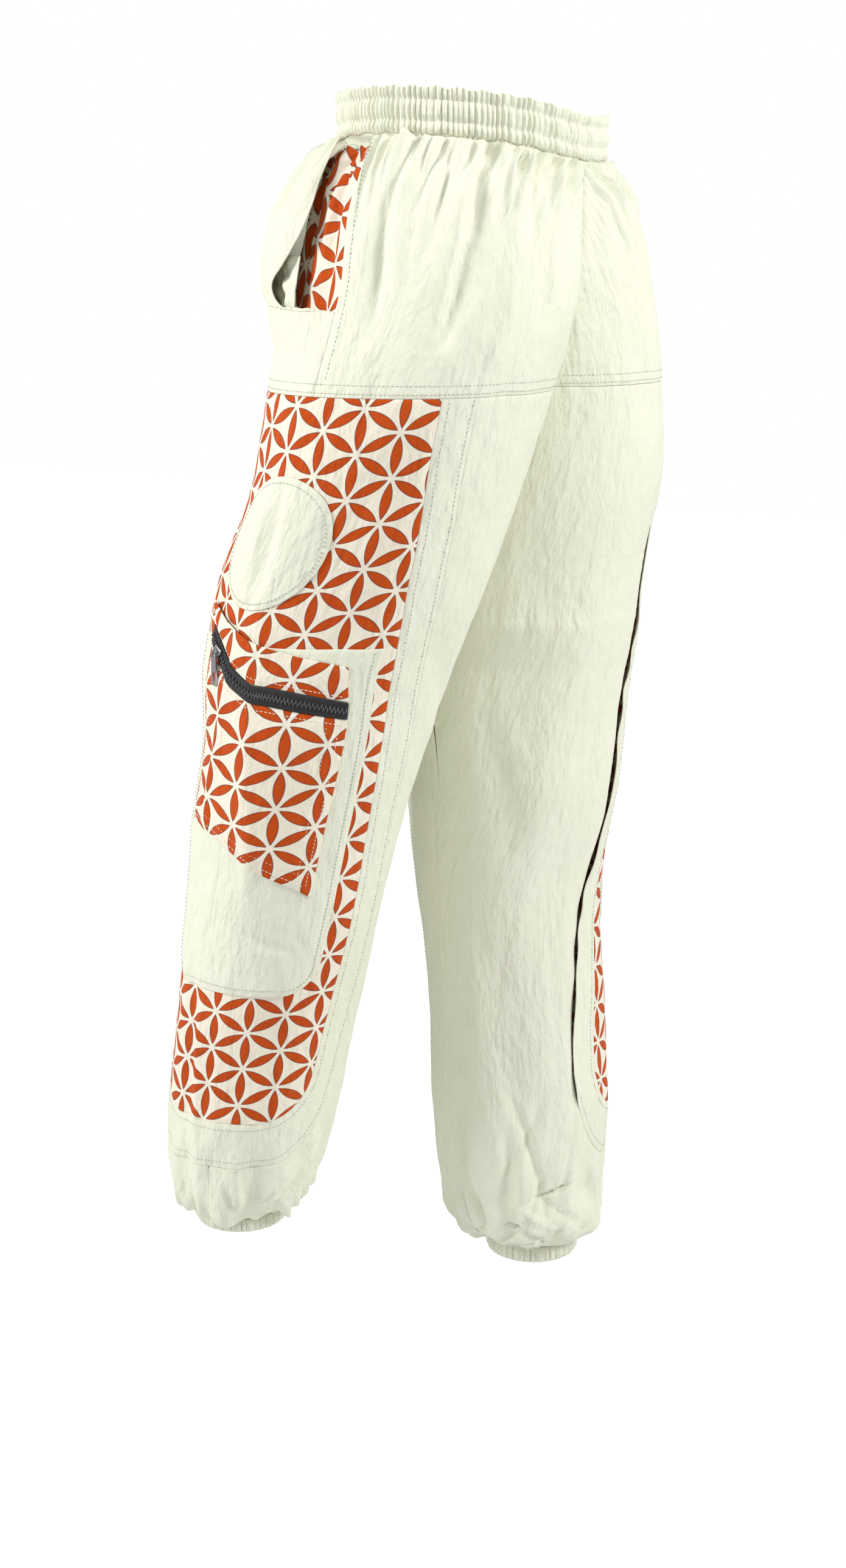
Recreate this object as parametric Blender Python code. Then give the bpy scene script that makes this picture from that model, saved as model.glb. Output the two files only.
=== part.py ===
"""Harem pants as they are worn, walking: plain yokes, plain leg panels, a printed side panel in a
U-shaped plain band with a round patch and a zipped cargo pocket, shirred waistband, gathered cuffs.

Metres, +Z up. The wearer faces -Y and the wearer's left is +X. The origin is the middle of the
waistband. Each half of the garment is one surface: "down" runs down the cloth from the waistband's
lower edge, "around" runs from -1 at the centre front or inseam, over 0 at the side, to +1 at the
centre back or inseam. Cut lines are given as "across", the cloth's own metres from the side.
"""

from functools import lru_cache
from math import cos, pi, radians, sin, sqrt

import bmesh
import bpy
import numpy as np
from mathutils import Matrix, Vector

# ---------------------------------------------------------------- driving sizes, metres
CLOTH = 0.0012  # thickness of one layer of cloth
SEAM = 0.0004  # clearance between two pieces that are sewn edge to edge
LAYER = 0.0009  # clearance between a piece and what lies on it
WAIST_HEIGHT = 0.032  # waistband, top to bottom
WAIST_HALF_WIDTH = 0.118
WAIST_HALF_DEPTH = 0.0885
WAIST_WALL = 0.0040
WAIST_WAVES = 88
YOKE_SEAM = 0.172  # down the side, from the waistband to the yoke seam
CROTCH = 0.393  # down the side, where the two legs part
SIDE_SEAM = -0.015  # across, the yokes' side seam
BAND_WIDTH = 0.028  # plain band beside the print
BAND_DEPTH = 0.042  # plain band under the print
PANEL_CORNER = 0.046  # radius of the print's lower corners
CIRCLE_RADIUS = 0.049
CIRCLE_AT = (-0.022, 0.278)  # across, down
BACKING_CORNER = 0.030
ZIP_WIDTH = 0.013
COIL_HEIGHT = 0.0012
CUFF_HEIGHT = {"left": 0.011, "right": 0.014}
CUFF_WALL = 0.0030
CUFF_WAVES = 26
TAB_LENGTH = 0.026
TAB_WIDTH = 0.0066
TAB_THICK = 0.0012

# The worn waist isn't level: it dips towards the centre back and stays low on the right
WAIST_LEVEL = (
    # angle from the wearer's left towards the back, height of the waistband's middle
    (-180, -0.0010),
    (-120, 0.0040),
    (-60, 0.0105),
    (32, 0.0103),
    (58, 0.0055),
    (84, -0.0020),
    (130, -0.0015),
    (180, -0.0010),
)

# Rows of the two halves from the waistband to the yoke: a ring of each half is an ellipse round
# (middle x, middle y), cut where it meets the centre plane.
HIP_ROWS = (
    # down, height, middle_x, middle_y, half_width, half_depth
    (0.000, -0.0160, 0.000, 0.000, 0.1180, 0.0885),
    (0.020, -0.0360, 0.012, 0.000, 0.1230, 0.1010),
    (0.050, -0.0640, 0.030, 0.000, 0.1200, 0.1075),
    (0.100, -0.1110, 0.055, 0.000, 0.1080, 0.1105),
)
LEG_ROWS = {
    "left": (
        (0.172, -0.180, 0.0795, -0.0110, 0.1000, 0.1010),
        (0.245, -0.252, 0.0830, -0.0300, 0.0960, 0.0965),
        (0.313, -0.320, 0.0870, -0.0560, 0.0910, 0.1000),
        (0.385, -0.392, 0.0905, -0.0770, 0.0880, 0.0930),
        (0.423, -0.430, 0.0910, -0.0825, 0.0860, 0.0865),
        (0.503, -0.510, 0.0900, -0.1015, 0.0820, 0.0820),
        (0.583, -0.590, 0.0880, -0.1200, 0.0770, 0.0775),
        (0.683, -0.690, 0.0850, -0.1440, 0.0710, 0.0715),
        (0.783, -0.790, 0.0820, -0.1630, 0.0665, 0.0660),
        (0.829, -0.835, 0.0810, -0.1690, 0.0590, 0.0575),
        (0.859, -0.855, 0.0800, -0.1730, 0.0460, 0.0460),
        (0.873, -0.857, 0.0800, -0.1740, 0.0360, 0.0360),
    ),
    "right": (
        (0.172, -0.180, 0.0795, 0.0010, 0.1005, 0.1090),
        (0.245, -0.252, 0.0830, 0.0080, 0.0970, 0.1030),
        (0.313, -0.320, 0.0870, -0.0040, 0.0920, 0.1010),
        (0.385, -0.392, 0.0905, -0.0070, 0.0880, 0.0960),
        (0.423, -0.430, 0.0910, -0.0060, 0.0870, 0.0890),
        (0.503, -0.510, 0.0900, -0.0110, 0.0830, 0.0870),
        (0.583, -0.590, 0.0880, -0.0130, 0.0770, 0.0770),
        (0.683, -0.690, 0.0850, -0.0040, 0.0730, 0.0750),
        (0.783, -0.790, 0.0820, 0.0020, 0.0740, 0.0755),
        (0.840, -0.847, 0.0810, 0.0060, 0.0670, 0.0690),
        (0.885, -0.887, 0.0800, 0.0140, 0.0570, 0.0590),
        (0.909, -0.900, 0.0800, 0.0170, 0.0370, 0.0370),
    ),
}
# The rise: where the centre back and centre front seams run
RISE_ROWS = (
    # down, back_y, front_y
    (0.000, 0.0885, -0.0885),
    (0.020, 0.0900, -0.0950),
    (0.050, 0.0890, -0.0980),
    (0.100, 0.0840, -0.0990),
    (0.172, 0.0650, -0.0950),
    (0.245, 0.0400, -0.0800),
    (0.313, 0.0060, -0.0660),
    (0.385, -0.0380, -0.0500),
    (0.393, -0.0430, -0.0450),
)
INSEAM_TURN = radians(20)  # the inseam lies this far in front of the innermost line

# Where the printed panel is cut, and the soft corner that runs down the side of the leg
PANEL_ROWS = {
    "left": (
        # down, back_edge, front_edge, corner_line, corner_height
        (0.172, 0.080, -0.125, -0.020, 0.000),
        (0.230, 0.082, -0.133, -0.024, 0.004),
        (0.300, 0.092, -0.138, -0.018, 0.008),
        (0.360, 0.099, -0.138, -0.004, 0.008),
        (0.450, 0.100, -0.134, 0.007, 0.009),
        (0.540, 0.102, -0.128, 0.016, 0.006),
        (0.620, 0.098, -0.112, 0.012, 0.002),
        (0.702, 0.089, -0.075, 0.007, 0.000),
    ),
    "right": (
        (0.172, 0.080, -0.125, -0.020, 0.000),
        (0.230, 0.082, -0.133, -0.024, 0.004),
        (0.300, 0.092, -0.138, -0.018, 0.008),
        (0.360, 0.101, -0.142, -0.004, 0.008),
        (0.450, 0.100, -0.142, 0.007, 0.009),
        (0.540, 0.101, -0.140, 0.016, 0.006),
        (0.640, 0.112, -0.130, 0.010, 0.002),
        (0.732, 0.122, -0.112, 0.006, 0.000),
    ),
}
CORNER_REACH = 0.060  # the soft corner fades this far to each side of its line

# Mouth of the hip pocket, from the waistband round to the side seam; the far column is where the
# same row of the front yoke ends on the centre front seam. The yoke bulges in front of the mouth.
MOUTH_ROWS = (
    # across, down, down_at_centre, edge_stands_out, bulge_stands_out
    (-0.050, 0.0000, 0.000, 0.001, 0.001),
    (-0.053, 0.0280, 0.022, 0.004, 0.015),
    (-0.051, 0.0560, 0.044, 0.008, 0.021),
    (-0.064, 0.0840, 0.064, 0.013, 0.021),
    (-0.078, 0.1010, 0.080, 0.014, 0.019),
    (-0.070, 0.1120, 0.094, 0.008, 0.011),
    (-0.046, 0.1150, 0.108, 0.000, 0.000),
    (SIDE_SEAM, 0.1150, 0.122, 0.000, 0.000),
    (SIDE_SEAM, 0.1430, 0.147, 0.000, 0.000),
    (SIDE_SEAM, YOKE_SEAM, YOKE_SEAM, 0.000, 0.000),
)
BULGE_AT = -0.105  # across, where the bulge is highest
BULGE_FADE = 0.070  # and how far in front of that it is gone
POCKET_REACH = 0.130  # how far forward the printed pocket piece goes, across
POCKET_FLOOR = 0.136  # and how far down

# The cargo pocket's columns, front to back
CARGO_COLUMNS = (
    # top_across, top_down, zip_across, zip_down, low_across, low_down
    (-0.078, 0.326, -0.060, 0.350, -0.058, 0.497),
    (-0.056, 0.333, -0.041, 0.361, -0.040, 0.499),
    (-0.032, 0.341, -0.021, 0.375, -0.014, 0.506),
    (-0.006, 0.349, 0.000, 0.385, 0.015, 0.521),
    (0.010, 0.353, 0.014, 0.387, 0.023, 0.526),
    (0.027, 0.357, 0.031, 0.390, 0.033, 0.531),
    (0.046, 0.361, 0.050, 0.394, 0.045, 0.537),
    (0.065, 0.365, 0.069, 0.398, 0.061, 0.547),
)
BACKING_ROWS = (
    # down, back_edge, front_edge
    (0.352, 0.088, -0.084),
    (0.400, 0.087, -0.082),
    (0.450, 0.085, -0.080),
    (0.500, 0.084, -0.078),
    (0.550, 0.082, -0.074),
    (0.603, 0.078, -0.064),
)
BACKING_END = 0.633

# Main folds, as soft ridges (+) and troughs (-): they run from one end to the other
FOLD_ROWS = {
    "left": (
        # across_top, down_top, across_low, down_low, half_width, height
        (0.030, 0.030, 0.012, 0.150, 0.012, -0.0025),
        (0.085, 0.030, 0.070, 0.140, 0.014, -0.0035),
        (0.130, 0.020, 0.150, 0.150, 0.016, -0.0030),
        (0.165, 0.200, 0.150, 0.520, 0.026, 0.0035),
        (0.205, 0.340, 0.160, 0.700, 0.024, -0.0040),
        (0.135, 0.560, 0.150, 0.820, 0.020, 0.0030),
        (-0.150, 0.560, -0.120, 0.820, 0.022, -0.0040),
        (-0.170, 0.250, -0.175, 0.600, 0.024, 0.0040),
    ),
    "right": (
        (0.040, 0.030, 0.030, 0.140, 0.012, -0.0025),
        (0.100, 0.030, 0.085, 0.140, 0.014, -0.0035),
        (0.150, 0.020, 0.160, 0.150, 0.014, -0.0030),
        (0.205, 0.220, 0.190, 0.560, 0.028, 0.0035),
        (0.170, 0.380, 0.165, 0.720, 0.024, -0.0035),
        (0.215, 0.560, 0.190, 0.860, 0.020, -0.0040),
        (-0.165, 0.300, -0.150, 0.640, 0.024, 0.0040),
        (-0.195, 0.560, -0.160, 0.840, 0.020, -0.0040),
    ),
}
YOKE_WAVES = 9  # gathers under the waistband, in each yoke
BLOUSE_WAVES = 13  # soft gathers above each cuff

SIDES = {"left": 1.0, "right": -1.0}

# colour, roughness, metallic
SAGE = ("sage_cotton", (0.75, 0.78, 0.66), 0.85, 0.0)
PRINT = ("printed_cotton", (0.80, 0.52, 0.36), 0.85, 0.0)
ZIP_BLACK = ("zip_black", (0.03, 0.03, 0.035), 0.55, 0.0)
STEEL = ("pull_metal", (0.45, 0.45, 0.47), 0.30, 1.0)


# ---------------------------------------------------------------- curves and surface
def smooth(x, xs, ys):
    """A smooth curve through the rows (xs, ys), read at x."""
    xs, ys = np.asarray(xs, float), np.asarray(ys, float)
    step = np.diff(xs)
    slope = np.diff(ys) / step
    turn = np.empty(len(xs))
    turn[0], turn[-1] = slope[0], slope[-1]
    turn[1:-1] = (slope[:-1] * step[1:] + slope[1:] * step[:-1]) / (step[:-1] + step[1:])
    x = np.clip(np.asarray(x, float), xs[0], xs[-1])
    i = np.clip(np.searchsorted(xs, x, side="right") - 1, 0, len(xs) - 2)
    t = (x - xs[i]) / step[i]
    start = (2 * t**3 - 3 * t**2 + 1) * ys[i] + (t**3 - 2 * t**2 + t) * step[i] * turn[i]
    end = (3 * t**2 - 2 * t**3) * ys[i + 1] + (t**3 - t**2) * step[i] * turn[i + 1]
    return start + end


def column(table, index):
    return [row[index] for row in table]


def leg_end(side):
    """How far down the leg's cloth reaches."""
    return LEG_ROWS[side][-1][0]


def waist_level(x, y):
    """How high the worn waist is, in the direction of (x, y)."""
    angle = np.degrees(np.arctan2(y / WAIST_HALF_DEPTH, x / WAIST_HALF_WIDTH))
    return smooth(angle, column(WAIST_LEVEL, 0), column(WAIST_LEVEL, 1))


def bare_ring(side, around, down):
    """The half garment's outer surface with no folds."""
    rows = HIP_ROWS + LEG_ROWS[side]
    downs = column(rows, 0)
    around, down = np.broadcast_arrays(np.asarray(around, float), np.asarray(down, float))
    height, middle_x, middle_y, width, depth = (
        smooth(down, downs, column(rows, k)) for k in range(1, 6)
    )
    split = np.where(down < CROTCH, np.arccos(-np.clip(middle_x / width, 0, 1)), pi)
    turn = INSEAM_TURN * np.clip((down - CROTCH) / 0.12, 0, 1)
    angle = np.where(around >= 0, around * (split + turn), around * (split - turn))
    x = middle_x + width * np.cos(angle)
    y = middle_y + depth * np.sin(angle)
    # the two halves meet on the rise
    above = np.minimum(down, CROTCH)
    rise_downs = column(RISE_ROWS, 0)
    back = smooth(above, rise_downs, column(RISE_ROWS, 1))
    front = smooth(above, rise_downs, column(RISE_ROWS, 2))
    own = depth * np.sin(split)
    pull = np.abs(around) ** 5 * np.clip(1 - (down - CROTCH) / 0.10, 0, 1)
    y = y + pull * np.where(around >= 0, back - (middle_y + own), front - (middle_y - own))
    x = SIDES[side] * x
    lean = np.clip(1 - down / 0.15, 0, 1) ** 1.5
    height = height + lean * waist_level(x, y)
    return np.stack([x, y, height], -1)


RING_STEPS = np.linspace(-1, 1, 241)


@lru_cache(maxsize=None)
def ring_lengths(side, down):
    """Cloth length from the side line to each of RING_STEPS, on the ring this far down."""
    ring = bare_ring(side, RING_STEPS, down)
    length = np.concatenate([[0], np.cumsum(np.linalg.norm(np.diff(ring, axis=0), axis=1))])
    return length - length[len(length) // 2]


def around_at(side, across, down):
    """The "around" of the point that lies "across" metres of cloth from the side line."""
    return float(np.interp(across, ring_lengths(side, float(down)), RING_STEPS))


def across_of(side, around, down):
    return float(np.interp(around, RING_STEPS, ring_lengths(side, float(down))))


@lru_cache(maxsize=None)
def panel_at(side, index, down):
    rows = PANEL_ROWS[side]
    return float(smooth(down, column(rows, 0), column(rows, index)))


def bump(x):
    return np.exp(-(x**2))


def fold_height(side, across, around, down):
    """How far the folds push the cloth out at a point."""
    total = 0.0
    for top, start, low, end, half_width, height in FOLD_ROWS[side]:
        share = (down - start) / (end - start)
        if 0 < share < 1:
            line = top + (low - top) * share
            total += height * sin(pi * share) * bump((across - line) / half_width)
    if down < 0.12:
        fade = (1 - down / 0.12) ** 2
        total += 0.0022 * fade * cos(2 * pi * YOKE_WAVES * around)
    crest = panel_at(side, 4, down) if YOKE_SEAM < down < 0.70 else 0.0
    off = abs(across - panel_at(side, 3, down)) / CORNER_REACH
    if off < 1:
        total += crest * (1 - off) ** 1.4
    blouse = (down - (leg_end(side) - 0.11)) / 0.11
    if blouse > 0:
        total += 0.0028 * sin(pi * min(blouse, 0.9)) * cos(pi * BLOUSE_WAVES * around + 1.0)
    return total


def mouth_lift(across, down):
    """The open hip pocket: its front edge stands out, and the yoke bulges in front of it."""
    edge_down = column(MOUTH_ROWS, 1)[:6]
    edge, at_edge, at_bulge = (
        np.interp(down, edge_down, column(MOUTH_ROWS, k)[:6]) for k in (0, 3, 4)
    )
    gone = min(max((edge_down[-1] + 0.03 - down) / 0.03, 0), 1)
    if across > BULGE_AT:
        share = min(max((edge - across) / (edge - BULGE_AT), 0), 1)
        lift = at_edge + (at_bulge - at_edge) * share * (2 - share)
    else:
        lift = at_bulge * (1 - min((BULGE_AT - across) / BULGE_FADE, 1)) ** 2
    return float(lift * gone)


def outward(side, around, down):
    """Unit normal of the bare surface."""
    d_around, d_down = 0.01, 0.004
    low, high = max(around - d_around, -1), min(around + d_around, 1)
    top, end = max(down - d_down, 0), min(down + d_down, leg_end(side))
    along = bare_ring(side, high, down) - bare_ring(side, low, down)
    fall = bare_ring(side, around, end) - bare_ring(side, around, top)
    normal = np.cross(along, fall) * -SIDES[side]
    return normal / np.linalg.norm(normal)


def cloth_point(side, around, down, out=0.0, lift=0.0):
    """A point of the folded cloth, "out" metres off its outer face."""
    across = across_of(side, around, down)
    push = fold_height(side, across, around, down) + lift + out
    point = bare_ring(side, around, down) + outward(side, around, down) * push
    if down < CROTCH + 0.02:
        point[0] = SIDES[side] * max(SIDES[side] * point[0], SEAM / 2)
    return Vector(point)


# ---------------------------------------------------------------- making solids
def material(spec):
    name, colour, roughness, metallic = spec
    made = bpy.data.materials.get(name)
    if made is None:
        made = bpy.data.materials.new(name)
        made.use_nodes = True
        shader = made.node_tree.nodes["Principled BSDF"]
        shader.inputs["Base Color"].default_value = (*colour, 1.0)
        shader.inputs["Roughness"].default_value = roughness
        shader.inputs["Metallic"].default_value = metallic
    return made


def add_object(name, mesh_maker, finish, location=(0, 0, 0)):
    """Makes an object from a bmesh, with its faces turned out."""
    bmesh.ops.recalc_face_normals(mesh_maker, faces=mesh_maker.faces)
    mesh = bpy.data.meshes.new(name)
    mesh_maker.to_mesh(mesh)
    mesh_maker.free()
    mesh.shade_smooth()
    mesh.set_sharp_from_angle(angle=radians(40))
    mesh.materials.append(material(finish))
    made = bpy.data.objects.new(name, mesh)
    made.location = location
    bpy.context.scene.collection.objects.link(made)
    return made


def wall(outer, inner, closed=False):
    """A bmesh wall between two grids of points, lists of rows; closed joins each row's ends."""
    shape = bmesh.new()
    faces = [[[shape.verts.new(p) for p in row] for row in grid] for grid in (outer, inner)]
    rows, cols = len(outer), len(outer[0])
    last = cols if closed else cols - 1
    for grid in faces:
        for i in range(rows - 1):
            for j in range(last):
                k = (j + 1) % cols
                shape.faces.new((grid[i][j], grid[i][k], grid[i + 1][k], grid[i + 1][j]))
    top, under = faces
    for i in (0, rows - 1):
        for j in range(last):
            k = (j + 1) % cols
            shape.faces.new((top[i][j], top[i][k], under[i][k], under[i][j]))
    if not closed:
        for j in (0, cols - 1):
            for i in range(rows - 1):
                shape.faces.new((top[i][j], top[i + 1][j], under[i + 1][j], under[i][j]))
    return shape


def cloth_wall(side, grid, out=0.0, thick=CLOTH, lift=None):
    """A wall whose outer face is "out" off the garment's surface, on a grid of (around, down)."""

    def layer(height):
        return [
            [
                cloth_point(side, a, d, height, lift(side, a, d) if lift else 0.0)
                for a, d in row
            ]
            for row in grid
        ]

    return wall(layer(out), layer(out - thick))


def spread(start, end, count):
    return [start + (end - start) * k / count for k in range(count + 1)]


# ---------------------------------------------------------------- cut lines of the side panel
def panel_path(side, edge, grow_side, grow_low):
    """The print's outline from the yoke seam down one edge to the middle of its lower edge, as
    (across, down), grown outwards by grow_side at the side and grow_low underneath."""
    rows = PANEL_ROWS[side]
    index, way = (1, 1) if edge == "back" else (2, -1)
    last = rows[-1][0]
    low = last + PANEL_CORNER
    path = [
        (panel_at(side, index, down) + way * grow_side, down)
        for down in spread(YOKE_SEAM + SEAM, last, 17)
    ]
    corner_across = rows[-1][index] - way * PANEL_CORNER
    for k in range(1, 5):
        angle = pi / 2 * k / 4
        reach_across = (PANEL_CORNER + grow_side) * cos(angle)
        reach_down = (PANEL_CORNER + grow_low) * sin(angle)
        path.append((corner_across + way * reach_across, last + reach_down))
    middle = rows[-1][3]
    for k in range(1, 4):
        path.append((corner_across + (middle - corner_across) * k / 3, low + grow_low))
    return path


def to_around(side, path):
    return [(around_at(side, across, down), down) for across, down in path]


def side_print(side):
    """The printed panel: rows run between the two edges, then close on its lower edge."""
    back = panel_path(side, "back", 0, 0)
    front = panel_path(side, "front", 0, 0)
    grid = []
    for row, (b, f) in enumerate(zip(back[:22], front[:22])):
        middle = panel_at(side, 3, b[1])
        middle = min(max(middle, f[0] + 0.01), b[0] - 0.01)
        line = [(f[0] + (middle - f[0]) * k / 7, b[1]) for k in range(7)]
        line += [(middle + (b[0] - middle) * k / 6, b[1]) for k in range(7)]
        grid.append(to_around(side, line))
    # the last row follows the straight lower edge
    return cloth_wall(side, grid)


def side_band(side):
    """The plain band: strips between the print's outline and the band's outer edge."""
    rings = []
    for share in (0.0, 0.5, 1.0):
        side_grow = SEAM + (BAND_WIDTH - SEAM) * share
        low_grow = SEAM + (BAND_DEPTH - SEAM) * share
        back = panel_path(side, "back", side_grow, low_grow)
        front = panel_path(side, "front", side_grow, low_grow)
        rings.append(to_around(side, front + back[-2::-1]))
    return cloth_wall(side, rings)


def leg_panel(side, edge):
    """A plain leg panel, from the band's outer edge, and the side seam under it, to the inseam."""
    way = 1 if edge == "back" else -1
    path = panel_path(side, edge, BAND_WIDTH + SEAM, BAND_DEPTH + SEAM)
    middle, low = path[-1]
    path[-1] = (middle + way * SEAM / 2, low)
    end = leg_end(side)
    path += [(middle + way * SEAM / 2, down) for down in spread(low, end, 4)[1:]]
    # the rows fan out under the band, so that none of them rises across it
    corner = PANEL_ROWS[side][-1][0]
    fan = low + 0.55 * (end - low)
    far_downs = [down for _, down in path[:18]] + spread(corner, low, 4)[1:]
    far_downs += spread(low, fan, 3)[1:] + spread(fan, end, 4)[1:]
    grid = []
    for (across, down), far in zip(path, far_downs, strict=True):
        start = around_at(side, across, down)
        half = ring_lengths(side, far)[-1 if way > 0 else 0]
        stop = way - SEAM / 2 / half * (far > CROTCH)
        grid.append(
            [(start + (stop - start) * k / 8, down + (far - down) * k / 8) for k in range(9)]
        )
    return cloth_wall(side, grid)


# ---------------------------------------------------------------- yokes and hip pocket
def back_yoke(side):
    grid = []
    for down in spread(2 * SEAM, YOKE_SEAM - SEAM, 7):
        start = around_at(side, SIDE_SEAM + SEAM / 2, down)
        grid.append([(a, down) for a in spread(start, 1.0, 2 * YOKE_WAVES)])
    return cloth_wall(side, grid)


def front_yoke(side):
    grid = []
    for across, down, far, _, _ in MOUTH_ROWS:
        down = min(max(down, 2 * SEAM), YOKE_SEAM - SEAM)
        far = min(max(far, 2 * SEAM), YOKE_SEAM - SEAM)
        start = around_at(side, across - SEAM / 2, down)
        grid.append(
            [
                (start + (-1.0 - start) * k / 14, down + (far - down) * k / 14)
                for k in range(15)
            ]
        )

    def lift(half, around, down):
        return mouth_lift(across_of(half, around, down), down)

    return cloth_wall(side, grid, lift=lift)


def hip_pocket(side):
    """The printed piece seen inside the mouth: it lies under both yokes, with three folds."""
    grid = []
    for down in spread(0.003, POCKET_FLOOR, 8):
        grid.append(
            [
                (around_at(side, across, down), down)
                for across in spread(SIDE_SEAM + 0.006, -POCKET_REACH, 10)
            ]
        )

    def sink(half, around, down):
        across = across_of(half, around, down)
        share = (SIDE_SEAM - across) / (POCKET_REACH + SIDE_SEAM)
        share = min(max(share, 0), 1)
        fold = 0.0015 * (1 - cos(6 * pi * share)) / 2
        return -SEAM - 0.0025 * share - 0.0050 * sin(pi * share) - fold

    return cloth_wall(side, grid, out=-CLOTH, lift=sink)


# ---------------------------------------------------------------- what lies on the print
def circle_patch(side):
    """A disc, as a square grid drawn out into a circle."""
    steps = spread(-1, 1, 8)
    grid = []
    for v in steps:
        row = []
        for u in steps:
            x = u * sqrt(1 - v * v / 2)
            y = v * sqrt(1 - u * u / 2)
            down = CIRCLE_AT[1] + CIRCLE_RADIUS * y
            to_corner = (panel_at(side, 3, down) - CIRCLE_AT[0]) * (1 - abs(u))
            across = CIRCLE_AT[0] + CIRCLE_RADIUS * x + to_corner
            row.append((around_at(side, across, down), down))
        grid.append(row)
    return cloth_wall(side, grid, out=LAYER + CLOTH)


def pocket_backing(side):
    downs, backs, fronts = (column(BACKING_ROWS, k) for k in range(3))
    edges = [
        (d, float(smooth(d, downs, backs)), float(smooth(d, downs, fronts)))
        for d in spread(downs[0], downs[-1], 8)
    ]
    last, back, front = edges[-1]
    for k in range(1, 4):
        angle = pi / 2 * k / 3
        drop = (BACKING_END - last) * sin(angle)
        pull = BACKING_CORNER * (1 - cos(angle))
        edges.append((last + drop, back - pull, front + pull))
    grid = []
    for down, back, front in edges:
        middle = panel_at(side, 3, down)
        line = [front + (middle - front) * k / 5 for k in range(5)]
        line += [middle + (back - middle) * k / 5 for k in range(6)]
        grid.append([(around_at(side, across, down), down) for across in line])
    return cloth_wall(side, grid, out=LAYER + CLOTH)


POCKET_OUT = 2 * (LAYER + CLOTH)  # the pocket lies on the backing


def cargo_rows(side, from_top):
    """The pocket's grid above the zip (from_top) or below it."""
    half = ZIP_WIDTH / 2 + SEAM
    rows = []
    counts = (0.0, 0.5, 1.0) if from_top else spread(0.0, 1.0, 6)
    for share in counts:
        row = []
        for top_a, top_d, zip_a, zip_d, low_a, low_d in CARGO_COLUMNS:
            if from_top:
                start, end = (top_a, top_d), (zip_a, zip_d - half)
            else:
                start, end = (zip_a, zip_d + half), (low_a, low_d)
            across = start[0] + (end[0] - start[0]) * share
            down = start[1] + (end[1] - start[1]) * share
            row.append((around_at(side, across, down), down))
        rows.append(row)
    return rows


def pouch_lift(side, around, down):
    """The pouch stands out a little between its edges."""
    across = across_of(side, around, down)
    wide = min(max((across + 0.062) / 0.128, 0), 1)
    tall = min(max((down - 0.36) / 0.16, 0), 1)
    return 0.004 * sin(pi * wide) * sin(pi * tall)


def cargo_pocket(side):
    return cloth_wall(side, cargo_rows(side, False), out=POCKET_OUT, lift=pouch_lift)


def pocket_top(side):
    return cloth_wall(side, cargo_rows(side, True), out=POCKET_OUT, lift=pouch_lift)


def zip_line(side, count):
    """The zip's middle line, as (across, down)."""
    columns = range(len(CARGO_COLUMNS))
    places = np.linspace(0, len(CARGO_COLUMNS) - 1, count)
    across = smooth(places, columns, column(CARGO_COLUMNS, 2))
    down = smooth(places, columns, column(CARGO_COLUMNS, 3))
    return list(zip(across.tolist(), down.tolist()))


SLIDER_AT = 1  # the slider sits on this column of CARGO_COLUMNS
SLIDER_LENGTH = 0.009
SLIDER_WIDTH = 0.0075
SLIDER_TOP = 0.0024  # above the tape's face
SLIDER_SUNK = -0.0003  # the body reaches this far into the tape
SMALLEST_EDGE = 0.00006  # shorter edges and thinner faces are closed up after a union
BAIL_HEIGHT = 0.0042  # axis of the pull tab, above the tape
BRIDGE_GAP = 0.00115  # the bridge leaves this much round the tab's axis
BRIDGE_THICK = 0.0009
BRIDGE_WIDTH = 0.0012


def slider_frame(side):
    """Place and axes of the slider: along the zip, across it, and off the cloth."""
    fine = 20
    line = zip_line(side, fine * (len(CARGO_COLUMNS) - 1) + 1)
    k = fine * SLIDER_AT
    points = []
    for across, down in (line[k - 4], line[k], line[k + 4]):
        around = around_at(side, across, down)
        points.append(cloth_point(side, around, down, POCKET_OUT, pouch_lift(side, around, down)))
    across, down = line[k]
    out = Vector(outward(side, around_at(side, across, down), down))
    along = (points[2] - points[0]).normalized()
    along = (along - out * along.dot(out)).normalized()
    return points[1], along, out.cross(along), out


def zip_tape(side):
    """The closed tape, highest along its coil."""
    half = ZIP_WIDTH / 2 - SEAM / 2
    heights = ((-half, 0.0), (0.0, COIL_HEIGHT), (half, 0.0))
    outer, inner = [], []
    for across, down in zip_line(side, len(CARGO_COLUMNS)):
        tops, unders = [], []
        for shift, rise in heights:
            around = around_at(side, across, down + shift)
            lift = pouch_lift(side, around, down + shift)
            tops.append(cloth_point(side, around, down + shift, POCKET_OUT + rise, lift))
            unders.append(cloth_point(side, around, down + shift, POCKET_OUT - CLOTH, lift))
        outer.append(tops)
        inner.append(unders)
    return wall(outer, inner)


def box(centre, axes, sizes):
    """A block with its three sizes along three axes."""
    shape = bmesh.new()
    bmesh.ops.create_cube(shape, size=1.0)
    turn = Matrix([[axes[k][i] * sizes[k] for k in range(3)] for i in range(3)])
    for vert in shape.verts:
        vert.co = centre + turn @ vert.co
    return shape


def hinge_axes(out):
    """The tab's axis, level and along the cloth, and the level direction off the cloth."""
    level = Vector((out.x, out.y, 0)).normalized()
    return level.cross(Vector((0, 0, 1))), level


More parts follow.
